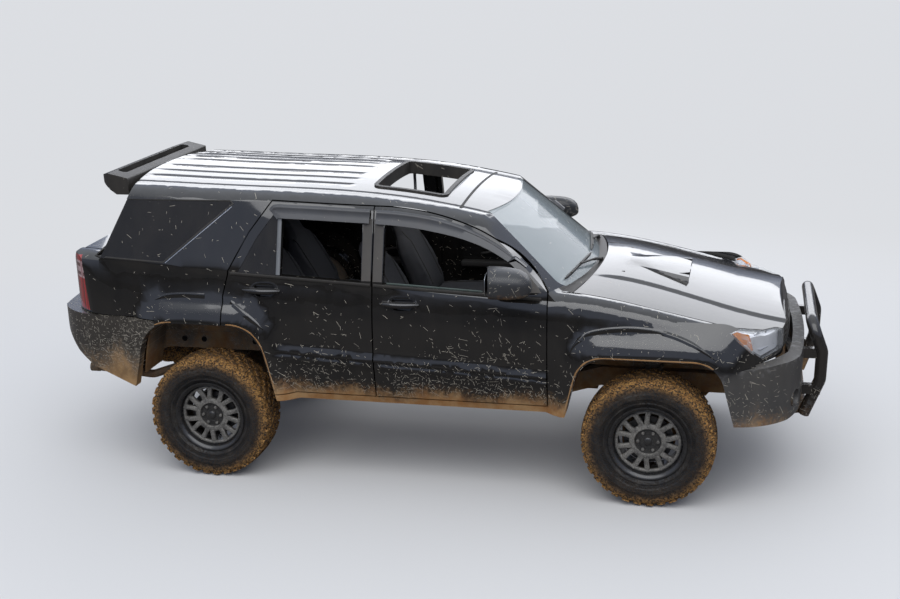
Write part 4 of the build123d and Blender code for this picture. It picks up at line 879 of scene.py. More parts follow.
def tyre_mesh():
    parts = [lathe(tyre_profile, 120)]

    def tread(outline, shift, side, count):
        placed = [((s + shift) * PITCH * side, y * side) for s, y in outline]
        parts.append(ring_of(lug(placed), "tyre_mud", count))

    for outline, shift, side in (
        (centre_lug, 0.0, 1), (inner_lug, 0.5, 1), (centre_lug, 0.5, -1), (inner_lug, 0.0, -1),
    ):
        tread(outline, shift, side, PITCHES)
    for side in (1, -1):
        tread(outer_lug, 0.25, side, PITCHES // 2)
        tread(short_lug, 1.25, side, PITCHES // 2)
        for start, end, shift in ((0.336, 0.383, 0.25), (0.352, 0.38, 1.25)):
            turn = Matrix.Rotation(-shift * PITCH * side / TREAD_R, 4, "Y")
            parts.append(ring_of(put(side_lug(start, end, 0.042, side), turn), "tyre_mud", PITCHES // 2))
        # fine ribs round the sidewall, no lettering
        rib = prism([(-0.0012, 0.268), (0.0012, 0.268), (0.0012, 0.283), (-0.0012, 0.283)], 0.1255, 0.13)
        put(rib, Matrix(((0, 0, 1, 0), (0, side, 0, 0), (1, 0, 0, 0), (0, 0, 0, 1))))
        parts.append(ring_of(rib, "tyre_mud", 150))
    return with_reach(join(parts, 32), lambda reach, y: reach)


rim_profile = [
    (0.233, -RIM_HALF), (0.233, -0.1085), (0.217, -0.105), (0.217, -0.074), (0.196, -0.05),
    (0.196, 0.056), (0.217, 0.074), (0.217, 0.104), (0.233, 0.108), (0.233, 0.116),
    (0.224, 0.116), (0.2085, 0.102), (0.2085, 0.076), (0.1885, 0.058), (0.1885, -0.052),
    (0.204, -0.06), (0.206, -0.072), (0.2075, -0.1), (0.214, -0.1085), (0.2235, -0.1155),
    (0.229, -0.117),
]
FACE_Y = -0.08
# ring round the hub, ring the forks end in, hub plate, cap and brake disc, with their steps round
face_profiles = (
    (84, [(0.079, 0.03), (0.079, 0.0045), (0.082, 0.0005), (0.086, 0.0), (0.102, 0.0005),
          (0.112, 0.006), (0.112, 0.03)]),
    (84, [(0.18, 0.028), (0.18, 0.006), (0.185, 0.001), (0.19, 0.0), (0.1985, 0.001),
          (0.2075, 0.007), (0.2075, 0.03)]),
    (60, [(0.0, 0.017), (0.044, 0.017), (0.045, 0.014), (0.05, 0.014), (0.051, 0.016),
          (0.072, 0.016), (0.073, 0.0125), (0.077, 0.012), (0.08, 0.015), (0.08, 0.028),
          (0.0, 0.028)]),
    (40, [(0.0, 0.0), (0.01, 0.0004), (0.018, 0.002), (0.023, 0.006), (0.0245, 0.01), (0.0245, 0.018)]),
    (60, [(0.07, 0.03), (0.082, 0.032), (0.082, 0.048), (0.148, 0.05), (0.148, 0.064),
          (0.07, 0.064)]),
)
# along one arm of a fork: radius, distance from its partner's line, half width, set back
arm_rows = [
    (0.094, 0.017, 0.018, 0.003), (0.112, 0.0178, 0.017, 0.0006), (0.126, 0.0205, 0.016, 0.0),
    (0.145, 0.0275, 0.0155, 0.0), (0.163, 0.0345, 0.016, 0.0003), (0.178, 0.04, 0.0185, 0.0015),
    (0.19, 0.043, 0.024, 0.0045),
]
arm_section = (
    (-1, 0.028), (-1, 0.007), (-0.8, 0.002), (-0.45, 0.0), (0.45, 0.0), (0.8, 0.002), (1, 0.007), (1, 0.028),
)


def fork_arm(side):
    """One arm of a forked spoke: it leaves the hub beside its partner and parts from it."""
    return stack([
        [(radius, FACE_Y + depth + back, side * across + half * a) for a, depth in arm_section]
        for radius, across, half, back in arm_rows
    ])


def dusted(reach, y):
    """Dust lies on the forked face and the wheel nuts."""
    face = (np.abs(y - FACE_Y) < 0.009) & (reach > 0.078) & (reach < 0.196)
    nuts = (np.abs(reach - 0.06) < 0.0125) & (y < FACE_Y + 0.012)
    return np.where(face | nuts, 1.0, np.where(reach < 0.078, 0.2, 0.1))


def rim_mesh():
    parts = [lathe(rim_profile, 96)]
    for side in (1, -1):
        parts.append(ring_of(fork_arm(side), "rim_finish", 7))
    for steps, profile in face_profiles:
        parts.append(lathe([(r, FACE_Y + y) for r, y in profile], steps))
    nut = bevelled(cone(6, 0.0105, 0.0098, 0.02), 0.0012, 1)
    parts.append(ring_of(put(nut, moved(0.06, FACE_Y + 0.009, 0) @ turned(90, "X")), "rim_finish", 6))
    bolt = put(cone(8, 0.0052, 0.0044, 0.006), moved(0.1935, FACE_Y - 0.0015, 0) @ turned(90, "X"))
    parts.append(ring_of(bolt, "rim_finish", 14, math.pi / 14))
    parts.append(put(cone(10, 0.0038, 0.003, 0.03), moved(0.201, FACE_Y - 0.01, 0) @ turned(70, "X")))
    return with_reach(join(parts, 30), dusted)


spare_place = moved(REAR_AXLE - 0.5, 0, 0.7) @ turned(90, "X")
for stem, master, finish in (("tyre", tyre_mesh(), "tyre_mud"), ("rim", rim_mesh(), "rim_finish")):
    for corner, (x, side) in CORNERS.items():
        place = moved(x, side * WHEEL_Y, HUB_Z) @ (FLIP_Y if side > 0 else Matrix.Identity(4))
        mesh = put(master.copy(), place)
        new_piece(f"{stem}_{corner}_detail", mesh, finish, f"wheel_{corner}", (f"{stem}_{corner}",))
    new_piece(f"spare_{stem}_detail", put(master, spare_place), finish, replaced=(f"spare_{stem}",))


# ---------------------------------------------------------------- outer trim
def ahead(x):
    return FRONT_AXLE + x


def behind(x):
    return REAR_AXLE + x


def belt_at(x):
    return 1.325 + (-0.2325 - x) * 0.05


def probe(*names):
    """Panels that straight lines can be laid against."""
    bm = bmesh.new()
    for name in names:
        bm.from_mesh(nodes[name].data)
    tree = BVHTree.FromBMesh(bm)
    bm.free()
    return tree


def meet(tree, start, direction):
    return tree.ray_cast(Vector(start), Vector(direction))[:2]


def from_side(tree, x, z):
    return meet(tree, (x, -1.4, z), (0, 1, 0))


def from_cabin(tree, x, z):
    return meet(tree, (x, -0.4, z), (0, -1, 0))


def from_behind(tree, y, z):
    return meet(tree, (-3.0, y, z), (1, 0, 0))


def from_front(tree, y, z):
    return meet(tree, (3.0, y, z), (-1, 0, 0))


def from_above(tree, x, y):
    return meet(tree, (x, y, 3.0), (0, 0, -1))


def laid(hits, section, scales=None, towards=(0, 0, -1), closed=False):
    """A strip along points of a panel; its section is (across, out), across runs towards a side."""
    inner, outer = section
    rings = []
    count = len(hits)
    for i, (place, normal) in enumerate(hits):
        before = hits[(i - 1) % count][0] if closed or i else place
        after = hits[(i + 1) % count][0] if closed or i < count - 1 else place
        across = normal.cross(after - before).normalized()
        if towards is not None and across.dot(Vector(towards)) < 0:
            across = -across
        k = scales[i] if scales else 1.0
        rings.append([place + across * a * k + normal * b for a, b in inner + outer[::-1]])
    return stack(rings, closed)


def flat_section(half, out, low=-0.002):
    return [(-half, low), (half, low)], [(-half, out * 0.5), (-half * 0.7, out), (half * 0.7, out), (half, out * 0.5)]


def raised(hits, high, low):
    """A flat plate over points of a panel, between two distances from it."""
    return stack([[p + n * high for p, n in hits], [p + n * low for p, n in hits]])


def both_sides(stem, parts, finish, body="chassis", replaced=None):
    """A right-hand piece and its mirror image on the left."""
    mesh = join(parts, 40)
    for side_name, side in SIDES:
        made = put(mesh.copy(), FLIP_Y) if side > 0 else mesh
        taken = (f"{replaced}_{side_name}",) if replaced else ()
        new_piece(f"{stem}_{side_name}", made, finish, body.format(side_name), taken)


def along(points, per_span=6):
    return [(p[0], p[2]) for p in smooth_path([(x, 0, z) for x, z in points], per_span)]


FRONT_DOOR = "front_door_{}_body"
REAR_DOOR = "rear_door_{}_body"
front_panel = probe("front_door_right")
rear_panel = probe("rear_door_right", "vent_glass_right")
side_panel = probe("body_side_right", "quarter_glass", "rear_door_right")
fender_panel = probe("fender_right", "front_door_right", "body_side_right")

# rain visors with a rolled top edge
front_top = [
    (-0.218, 1.766), (-0.1, 1.759), (0.035, 1.744), (0.16, 1.721), (0.285, 1.686), (0.4, 1.64),
    (0.5, 1.589), (0.597, 1.528), (0.655, 1.486), (0.7, 1.449),
]
rear_top = [(-0.258, 1.769), (-0.42, 1.775), (-0.6, 1.782), (-0.76, 1.786), (-0.868, 1.787), (-0.905, 1.76)]
visor_section = (
    [(0.002, 0.0), (0.01, 0.007), (0.018, 0.011), (0.026, 0.0125), (0.036, 0.013), (0.06, 0.017),
     (0.086, 0.02)],
    [(-0.002, 0.001), (0.003, 0.01), (0.011, 0.0165), (0.021, 0.018), (0.026, 0.0155), (0.06, 0.0205),
     (0.086, 0.023)],
)
for stem, panel, top, body in (
    ("front", front_panel, front_top, FRONT_DOOR), ("rear", rear_panel, rear_top, REAR_DOOR),
):
    line = along(top)
    scales = [1.0 - 0.45 * ramp(x, 0.1, 0.7) for x, z in line]
    visor = laid([from_side(panel, x, z - 0.014) for x, z in line], visor_section, scales)
    both_sides(f"{stem}_visor", [visor], "smoked_trim", body)

# pillar strips, divider bar and belt rubbers
wide_strip, narrow_bar = flat_section(0.0285, 0.0028), flat_section(0.013, 0.006)
for stem, panel, x, foot, top, count, section, finish, body in (
    ("front_pillar_strip", front_panel, -0.2015, 0.012, 1.7, 12, wide_strip, "satin_trim", FRONT_DOOR),
    ("rear_pillar_strip", rear_panel, -0.2725, 0.012, 1.7, 12, wide_strip, "satin_trim", REAR_DOOR),
    ("divider_bar", rear_panel, -0.835, 0.004, 1.738, 10, narrow_bar, "grey_bar", REAR_DOOR),
):
    rows = [from_side(panel, x, z) for z in np.linspace(belt_at(x) + foot, top, count)]
    both_sides(stem, [laid(rows, section, None, (1, 0, 0))], finish, body)
rubber = ([(-0.012, -0.002), (0.01, -0.002)], [(-0.012, 0.003), (-0.007, 0.0075), (0.004, 0.008), (0.01, 0.002)])
for stem, panel, low, high, body in (
    ("front", front_panel, -0.225, 0.8, FRONT_DOOR), ("rear", rear_panel, -1.15, -0.246, REAR_DOOR),
):
    rows = [from_side(panel, x, belt_at(x) - 0.012) for x in np.linspace(low, high, 24)]
    both_sides(f"{stem}_belt_rubber", [laid(rows, rubber)], "seal_rubber", body)

# quarter glass: black edge all round and a bright line on its slanted edge
quarter_line = [(-2.078, 1.435), (-1.893, 1.788), (-1.172, 1.79), (-1.146, 1.775), (-1.6, 1.411)]
hits = []
for (ax, az), (bx, bz) in zip(quarter_line, quarter_line[1:] + quarter_line[:1]):
    steps = max(2, int(math.hypot(bx - ax, bz - az) / 0.04))
    hits += [from_side(side_panel, ax + (bx - ax) * i / steps, az + (bz - az) * i / steps) for i in range(steps)]
both_sides("quarter_edge", [laid(hits, flat_section(0.006, 0.0022), None, None, True)], "seal_rubber")
hits = [from_side(side_panel, -1.136 - 0.43 * t, 1.769 - 0.345 * t) for t in np.linspace(0.04, 1.04, 14)]
both_sides("quarter_bright_line", [laid(hits, flat_section(0.0032, 0.0036))], "bright_metal")

# creases over the wheel openings: a dark step with a lit edge under it
brow_section = (
    [(-0.01, -0.001), (0.024, -0.001)],
    [(-0.01, 0.0005), (-0.004, 0.003), (0.001, 0.004), (0.0015, 0.0005), (0.0045, 0.0005), (0.006, 0.0062),
     (0.013, 0.005), (0.024, 0.0004)],
)
front_brow = [
    (-0.472, 0.945), (-0.418, 1.034), (-0.316, 1.09), (-0.116, 1.115), (0.081, 1.097), (0.258, 1.043), (0.396, 0.956),
]
rear_brow = [(-3.094, 1.178), (-3.022, 1.208), (-2.904, 1.22), (-2.76, 1.218)]
rear_door_brow = [(-2.585, 1.184), (-2.508, 1.14), (-2.422, 1.077), (-2.359, 1.018)]
for stem, panel, line, faded, body in (
    ("front_arch", fender_panel, front_brow, (0, 1), "chassis"), ("rear_arch", side_panel, rear_brow, (0,), "chassis"),
    ("rear_door_arch", rear_panel, rear_door_brow, (1,), REAR_DOOR),
):
    points = along([(ahead(x), z) for x, z in line], 7)
    last = len(points) - 1
    taper = [min(1.0, 0.12 + 0.11 * min(abs(i - end * last) for end in faded)) for i in range(last + 1)]
    crease = laid([from_side(panel, x, z) for x, z in points], brow_section, taper)
    both_sides(f"{stem}_crease", [crease], "gloss_paint", body)


# dried mud along the lips of the wheel openings
def arch_line(x, foot, shoulder, top, corner, out=0.008, knee=0.52):
    """Points along a wheel opening's outline, rear foot first."""
    foot, shoulder, top = foot + out, shoulder + out, top + out
    ends = [(x - foot, knee), (x - shoulder, top), (x + shoulder, top), (x + foot, knee)]
    points = []
    for i in (1, 2):
        before, at, after = (Vector(p) for p in ends[i - 1:i + 2])
        back, on = (before - at).normalized(), (after - at).normalized()
        reach = (corner + out) / math.tan(back.angle(on) / 2)
        start, end = at + back * reach, at + on * reach
        if i == 1:
            points += [before.lerp(start, t) for t in np.linspace(0, 0.92, 9)]
        points += [start.lerp(at, t).lerp(at.lerp(end, t), t) for t in np.linspace(0, 1, 13)]
        if i == 2:
            points += [end.lerp(after, t) for t in np.linspace(0.08, 1, 9)]
    return points


door_only = probe("rear_door_right")
front_lip = arch_line(FRONT_AXLE, 0.5, 0.392, 0.938, 0.19)
rear_lip = arch_line(REAR_AXLE, 0.498, 0.372, 1.042, 0.24)
door_end = [p for p in rear_lip if from_side(door_only, *p)[0] is not None]
for stem, tree, points, body in (
    ("front_lip_mud", probe("fender_right"), front_lip, "chassis"),
    ("rear_lip_mud", probe("body_side_right"), [p for p in rear_lip if p not in door_end], "chassis"),
    ("rear_door_lip_mud", door_only, door_end, REAR_DOOR),
):
    hits = [from_side(tree, *p) for p in points]
    hits = [hit for hit in hits if hit[0] is not None and hit[0].y < -0.7]
    if len(hits) > 2:
        thick = [0.55 + 0.45 * math.sin(i * 2.3) ** 2 for i in range(len(hits))]
        both_sides(stem, [laid(hits, flat_section(0.0055, 0.0024), thick)], "mud_line", body)

# pull handles in their oval cups
for stem, panel, x, z, body in (
    ("front", front_panel, -0.065, 1.205, FRONT_DOOR), ("rear", rear_panel, behind(0.408), 1.26, REAR_DOOR),
):
    hits = [
        from_side(panel, x + 0.02 + 0.088 * bulge(math.cos(a), 0.8), z + 0.05 * bulge(math.sin(a), 0.8))
        for a in circle(40)
    ]
    rise = min(h[0].y for h in hits)
    arc = [(t, 1 - t * t) for t in np.linspace(-1, 1, 25)]
    grip = [(x + 0.122 * t, rise - 0.014 * k + 0.006, z - 0.004 * k) for t, k in arc]
    radii = [0.0055 + 0.0125 * (1 - abs(t) ** 3.2) for t, k in arc]
    parts = [tube(grip, radii, 14), laid(hits, flat_section(0.005, 0.0035), None, None, True)]
    if stem == "front":
        lock = lathe([(0.0, 0.0), (0.0095, 0.0), (0.0105, 0.003), (0.0105, 0.012), (0.0, 0.012)], 20)
        parts.append(put(lock, moved(x - 0.104, rise - 0.006, z)))
    both_sides(f"{stem}_handle", parts, "gloss_trim", body)

# door mirrors: a full rounded shell with a flat foot
MIRROR_X = 0.512
MIRROR_Y = -1.012
# depth behind the glass and size there
shell_rows = [
    (0.004, 0.8), (0.0, 0.955), (0.012, 0.995), (0.045, 1.0), (0.09, 0.985), (0.13, 0.94), (0.16, 0.86),
    (0.185, 0.73), (0.202, 0.55), (0.212, 0.32), (0.216, 0.0),
]
rings = []
for step, k in shell_rows:
    rings.append([])
    for a in circle(44):
        half_z, power = (0.08, 0.8) if math.sin(a) > 0 else (0.084, 0.46)
        out = 0.102 * k * bulge(math.cos(a), 0.7)
        z = 1.405 + half_z * k * bulge(math.sin(a), power) - 0.03 * (1 - k) + 0.12 * out
        rings[-1].append((MIRROR_X + step * 1.2 - out * (0.2 if k > 0.9 else 0.1), MIRROR_Y + out, z))
both_sides("mirror_shell", [stack(rings, ends=(0,), pole=True)], "mirror_cover", FRONT_DOOR, "mirror")
arm = [(0.665, -0.832, 1.325), (0.668, -0.88, 1.326), (0.668, -0.93, 1.332), (0.664, -0.975, 1.345)]
sail = [(0.672, 1.296), (0.8, 1.296), (0.762, 1.345), (0.712, 1.395), (0.672, 1.415)]
sail = raised([from_side(front_panel, x, z) for x, z in sail], 0.001, 0.007)
foot = tube(smooth_path(arm, 5), 0.03, 16, flat=0.62)
both_sides("mirror_foot", [foot, sail], "satin_trim", FRONT_DOOR)
pane = [(-1.098, 1.344), (-0.93, 1.346), (-0.928, 1.452), (-0.96, 1.466), (-1.06, 1.464), (-1.098, 1.444)]
pane = bevelled(prism(pane, MIRROR_X - 0.0005, MIRROR_X - 0.0045, "x", 0.002), 0.001, 1)
both_sides("mirror_pane", [pane], "mirror_glass", FRONT_DOOR)


# ---------------------------------------------------------------- lamps
def right_half(node):
    """The right side's part of a lamp node, merged."""
    bm = node_copy(node)
    bmesh.ops.delete(bm, geom=[v for v in bm.verts if v.co.y > 0], context="VERTS")
    return bm


def bowl(centre, radius, depth, bulb, turn=0):
    """A faceted reflector bowl with its bulb, facing +X before it is turned."""
    rings = [
        [(-depth * d, radius * r * math.cos(a), radius * r * math.sin(a)) for a in circle(20)]
        for r, d in ((1.0, 0.0), (0.92, 0.22), (0.78, 0.48), (0.58, 0.74), (0.34, 0.93), (0.16, 1.0))
    ]
    # With its normals unset the second skin falls on the first, so the wall has no thickness.
    bm = stack(rings, ends=(-1,), outward=False)
    bmesh.ops.solidify(bm, geom=bm.faces[:], thickness=0.0015)
    ball = bmesh.ops.create_uvsphere(bm, u_segments=14, v_segments=8, radius=bulb)["verts"]
    bmesh.ops.translate(bm, verts=ball, vec=(-depth * 0.55, 0, 0))
    bmesh.ops.recalc_face_normals(bm, faces=bm.faces)
    return put(bm, moved(*centre) @ turned(turn, "Z"))


def pair(stem, parts, finish, replaced=()):
    """A right-hand piece joined with its mirror image in one piece."""
    mesh = join(parts, 25)
    new_piece(stem, join([mesh, put(mesh.copy(), FLIP_Y)], 25), finish, replaced=replaced)


pair("headlamp_lens", [right_half("headlamps")], "lamp_glass", ("headlamps",))
bucket = right_half("headlamps")
middle = Vector((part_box("headlamps")[1][0] - 0.12, -0.7, 1.02))
for v in bucket.verts:
    v.co = middle + (v.co - middle) * 0.9 + Vector((-0.022, 0.012, -0.006))
pair("headlamp_bucket", [bucket], "lamp_silver")
bowls = [bowl(place, radius, depth, 0.01, -24) for place, radius, depth in (
    ((2.105, -0.64, 1.015), 0.05, 0.045), ((2.045, -0.728, 1.03), 0.047, 0.045),
    ((1.985, -0.79, 1.05), 0.03, 0.03),
)]
bowls.append(block((2.06, -0.66, 0.975), (0.1, 0.16, 0.006), 0.001, 1, turned(-30, "Z")))
bowls.append(block((2.075, -0.585, 1.02), (0.05, 0.006, 0.1), 0.001, 1))
pair("headlamp_bowls", bowls, "chrome")
lamp_panel = probe("headlamps")
hits = []
for x, z in ((1.905, 1.098), (1.93, 1.106), (1.998, 1.076), (2.022, 1.0), (2.01, 0.976)):
    place, normal = from_side(lamp_panel, x, z)
    hits.append((place, normal) if place is not None else (Vector((x, -0.8, z)), Vector((0, -1, 0))))
pair("headlamp_amber", [raised(hits, 0.0018, -0.012)], "amber_lens")

# fog lamps: ring, bowl and lens
fog_ring = lathe([(0.05, 0.0), (0.05, -0.014), (0.0545, -0.016), (0.06, -0.012), (0.06, 0.0)], 36)
pair("fog_rings", [put(fog_ring, moved(2.25, -0.648, 0.655) @ turned(90, "Z"))], "satin_black")
pair("fog_bowls", [bowl((2.246, -0.648, 0.655), 0.046, 0.03, 0.008)], "lamp_silver")
dome = lathe([(0.0, -0.0115), (0.015, -0.0105), (0.03, -0.007), (0.044, 0.0), (0.044, 0.006), (0.0, 0.002)], 36)
pair("fog_lens", [put(dome, moved(2.256, -0.648, 0.655) @ turned(90, "Z"))], "lamp_glass", ("fog_lamps",))

# tail lamps: a ribbed red lens, cut in slices so that its shading is even
tail_low, tail_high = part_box("tail_lamps")
bm = right_half("tail_lamps")
slice_up(bm, grid_planes(tail_low[2], tail_high[2], 0.02, 2))
lens = plain_mesh(bm)
soften(lens, 30, 4)
pair("tail_lamp_lens", [lens], "tail_lens", ("tail_lamps",))

# ---------------------------------------------------------------- front
grille_panel = probe("grille")
bars = []
for y in np.linspace(-0.515, 0.515, 52):
    place, normal = from_front(grille_panel, y, 0.9875)
    x = place.x if place else 2.2
    bars.append(block((x - 0.02, y, 0.9875), (0.01, 0.0028, 0.118), 0.0008, 1))
new_piece("grille_bars", join(bars), "satin_black")
hood_panel = probe("hood")
nozzles = [
    block(from_above(hood_panel, 1.225, y)[0] + Vector((0, 0, 0.005)), (0.024, 0.02, 0.014), 0.004, 2)
    for y in (-0.3, 0.3)
]
new_piece("washer_nozzles", join(nozzles), "satin_black", "hood_body")

# wipers laid along the foot of the screen, which is an arc
SCREEN_RADIUS = 1.92
screen_panel = probe("windscreen", "cowl", "hood")
cowl_panel = probe("cowl", "windscreen")
for stem, pivot, tip, z0, z1 in (("right", -0.02, -0.61, 1.33, 1.318), ("left", 0.58, 0.05, 1.32, 1.334)):
    rows = []
    for t in np.linspace(0, 1, 14):
        z = z0 + (z1 - z0) * t + 0.01 * math.sin(math.pi * t)
        place, normal = from_front(screen_panel, pivot + (tip - pivot) * t, z)
        rows.append(place + normal * 0.011)
    blade = tube(rows, [0.004] + [0.0085] * 12 + [0.004], 8)
    spine = tube([p + Vector((0.006, 0, 0.006)) for p in rows[2:-2]], 0.006, 6)
    middle = rows[7] + Vector((0.01, 0, 0.01))
    root_x = ahead(-0.378) - SCREEN_RADIUS + math.sqrt(SCREEN_RADIUS ** 2 - pivot ** 2)
    base = Vector((root_x, pivot, from_above(cowl_panel, root_x, pivot)[0].z + 0.008))
    elbow = base.lerp(middle, 0.45) + Vector((0.012, 0, 0.012))
    arm = tube(smooth_path([base, elbow, middle], 6), [0.01] * 7 + [0.007] * 6, 8)
    hub = put(cone(20, 0.017, 0.012, 0.024), moved(*base))
    new_piece(f"wiper_{stem}", join([blade, spine, arm, hub]), "satin_black")

# ---------------------------------------------------------------- roof
roof_node = probe("roof_panel", "sunroof_seal")
rows = [from_above(roof_node, 0.262, y) for y in np.linspace(-0.575, 0.575, 40)]
new_piece("roof_seam", to_mesh(laid(rows, flat_section(0.0085, 0.0016), None, (1, 0, 0)), 40), "seal_rubber")
# wind deflector at the front of the sunroof, its arms reaching back
DEFLECTOR_X = 0.14
top_z = from_above(roof_node, DEFLECTOR_X + 0.02, 0.0)[0].z
lean = Vector((-0.3, 0, 0.95)).normalized()
rows = [(y, (y / 0.385) ** 2) for y in np.linspace(-0.385, 0.385, 30)]
rows = [(Vector((DEFLECTOR_X - 0.018 * k, y, top_z - 0.006 - 0.012 * k)), lean) for y, k in rows]
section = ([(-0.026, 0.0), (0.02, 0.0)], [(-0.026, 0.004), (-0.004, 0.007), (0.02, 0.003)])
new_piece("sunroof_deflector", to_mesh(laid(rows, section, None, (1, 0, 0)), 40), "bright_trim")

# ---------------------------------------------------------------- rear
tail_panel = probe("tailgate", "tailgate_glass")
rows = [from_behind(tail_panel, y, 1.492 + 0.01 * math.cos(y * 3)) for y in np.linspace(0.02, 0.4, 12)]
foot = from_behind(tail_panel, -0.02, 1.462)[0]
arm = [foot + Vector((-0.02, 0, 0)), foot + Vector((-0.03, 0.1, 0.02)), rows[6][0] + Vector((-0.022, 0, 0))]
parts = [
    tube([p + n * 0.012 for p, n in rows], [0.0035] + [0.0058] * 10 + [0.0035], 8),
    tube(arm, [0.012, 0.008, 0.005], 8),
    block(foot + Vector((-0.012, 0, 0)), (0.04, 0.05, 0.036), 0.01, 3),
]
new_piece("rear_wiper", join(parts), "satin_black", "tailgate_body")
place = from_behind(tail_panel, 0.0, 1.33)[0]
garnish = block(place + Vector((-0.01, 0, 0)), (0.034, 0.62, 0.052), 0.011, 3)
grip = block(place + Vector((-0.016, 0, -0.028)), (0.022, 0.22, 0.018), 0.006, 2)
new_piece("tailgate_garnish", join([garnish, grip]), "gloss_trim", "tailgate_body")
place, normal = from_behind(tail_panel, 0.0, 1.22)
turn = Vector((-1, 0, 0)).rotation_difference(normal).to_matrix().to_4x4()
settle = moved(*(place + normal * 0.004)) @ turn
plate = block((0, 0, 0), (0.004, 0.306, 0.153), 0.006, 2)
border = [block((-0.003, 0, s * 0.0785), (0.01, 0.32, 0.01), 0.003, 1) for s in (1, -1)]
border += [block((-0.003, s * 0.156, 0), (0.01, 0.01, 0.16), 0.003, 1) for s in (1, -1)]
new_piece("rear_plate", to_mesh(put(plate, settle)), "white_plate", "tailgate_body")
new_piece("rear_plate_frame", join([put(b, settle) for b in border]), "satin_black", "tailgate_body")
spoiler_panel = probe("spoiler")
rows = [from_behind(spoiler_panel, y, 1.884) for y in np.linspace(-0.17, 0.17, 12)]
stop = laid([r for r in rows if r[0] is not None], flat_section(0.007, 0.004), None, (0, 0, 1))
new_piece("stop_lamp", to_mesh(stop, 40), "tail_lens", "tailgate_body")


# ---------------------------------------------------------------- cabin
CLOTH_FRAMES = 20
SEAT_Y = 0.37


def swell(mesh, cap, pressure=4.0):
    """Blow a closed form up as cloth, no point moving further than the cap."""
    item = bpy.data.objects.new("pad", mesh)
    bpy.context.scene.collection.objects.link(item)
    cloth = item.modifiers.new("cloth", "CLOTH")
    for name, value in (
        ("use_pressure", True), ("uniform_pressure_force", pressure), ("tension_stiffness", 12),
        ("compression_stiffness", 12), ("bending_stiffness", 0.8),
    ):
        setattr(cloth.settings, name, value)
    cloth.settings.effector_weights.gravity = 0
    cloth.point_cache.frame_start = 1
    cloth.point_cache.frame_end = CLOTH_FRAMES
    before = [v.co.copy() for v in mesh.vertices]
    for number in range(1, CLOTH_FRAMES + 1):
        bpy.context.scene.frame_set(number)
    graph = bpy.context.evaluated_depsgraph_get()
    blown = bpy.data.meshes.new_from_object(item.evaluated_get(graph))
    bpy.data.objects.remove(item)
    bpy.context.scene.frame_set(1)
    for vert, start in zip(blown.vertices, before):
        step = vert.co - start
        if step.length > cap:
            vert.co = start + step * (cap / step.length)
    return blown


def pad_form(rows, sides=48, power=0.55):
    """A closed pad along rows of (x, z, half width, half thickness, bolster), from y = 0."""
    rings = []
    for i, (x, z, wide, thick, bolster) in enumerate(rows):
        before, after = rows[max(i - 1, 0)], rows[min(i + 1, len(rows) - 1)]
        run = Vector((after[0] - before[0], 0, after[1] - before[1])).normalized()
        out = Vector((run.z, 0, -run.x))
        rings.append([])
        for a in circle(sides):
            y, s = wide * bulge(math.cos(a), power), math.sin(a)
            t = thick * bulge(s, 0.62)
            if s > 0:
                t += bolster * (abs(y) / wide) ** 3 * s - bolster * 0.35 * (1 - (abs(y) / wide) ** 2)
            rings[-1].append(Vector((x, 0, z)) + out * t + Vector((0, y, 0)))
    bm = stack(rings, ends=())
    verts = bm.verts[:]
    for ring in (verts[:sides], verts[-sides:]):
        middle = bm.verts.new(sum((v.co for v in ring), Vector()) / sides)
        for k in range(sides):
            bm.faces.new((ring[k], ring[(k + 1) % sides], middle))
    bmesh.ops.recalc_face_normals(bm, faces=bm.faces)
    return plain_mesh(bm)


def spaced(rows, count):
    """Rows of numbers evened out along the first two, which start ahead of the front axle."""
    rows = [(ahead(x), *others) for x, *others in rows]
    line = smooth_path([(r[0], 0, r[1]) for r in rows], 8)
    marks = np.linspace(0, len(rows) - 1, len(line))
    keys = np.arange(len(rows))
    wide, thick, bolster = ([float(np.interp(m, keys, [r[k] for r in rows])) for m in marks] for k in (2, 3, 4))
    picks = np.linspace(0, len(line) - 1, count).astype(int)
    return [(line[i].x, line[i].z, wide[i], thick[i], bolster[i]) for i in picks]


def finished_pad(stem, rows, shift_y, count, cap, centre_half, low_z, high_z, replaced=()):
    """Swell a pad, subdivide it once and give its middle the pale mesh cloth."""
    mesh = swell(pad_form(spaced(rows, count)), cap)
    bm = bmesh.new()
    bm.from_mesh(mesh)
    bpy.data.meshes.remove(mesh)
    bmesh.ops.subdivide_edges(bm, edges=bm.edges, cuts=1, use_grid_fill=True, smooth=0.6)
    bm.normal_update()
    for face in bm.faces:
        place = face.calc_center_median()
        forward = face.normal.x * 0.55 + face.normal.z * 0.6
        face.material_index = int(abs(place.y) < centre_half and low_z < place.z < high_z and forward > 0.35)
        face.smooth = True
    bmesh.ops.translate(bm, verts=bm.verts, vec=(0, shift_y, 0))
    tree = BVHTree.FromBMesh(bm)
    mesh = plain_mesh(bm)
    piece = new_piece(stem, mesh, "seat_cloth", replaced=replaced)
    mesh.materials.append(materials["seat_mesh"])
    return tree


def piping(tree, y, start, run, count, out):
    """A sewn edge over a pad, along a line of (x, z) just off its face."""
    line = []
    for t in np.linspace(0, 1, count):
        point = Vector((ahead(start[0] + run[0] * t), y, start[1] + run[1] * t))
        place, normal = meet(tree, point + Vector(out) * 0.4, -Vector(out))
        if place is not None:
            line.append(place + normal * 0.0015)
    return [tube(line, 0.0042, 7)] if len(line) > 3 else []


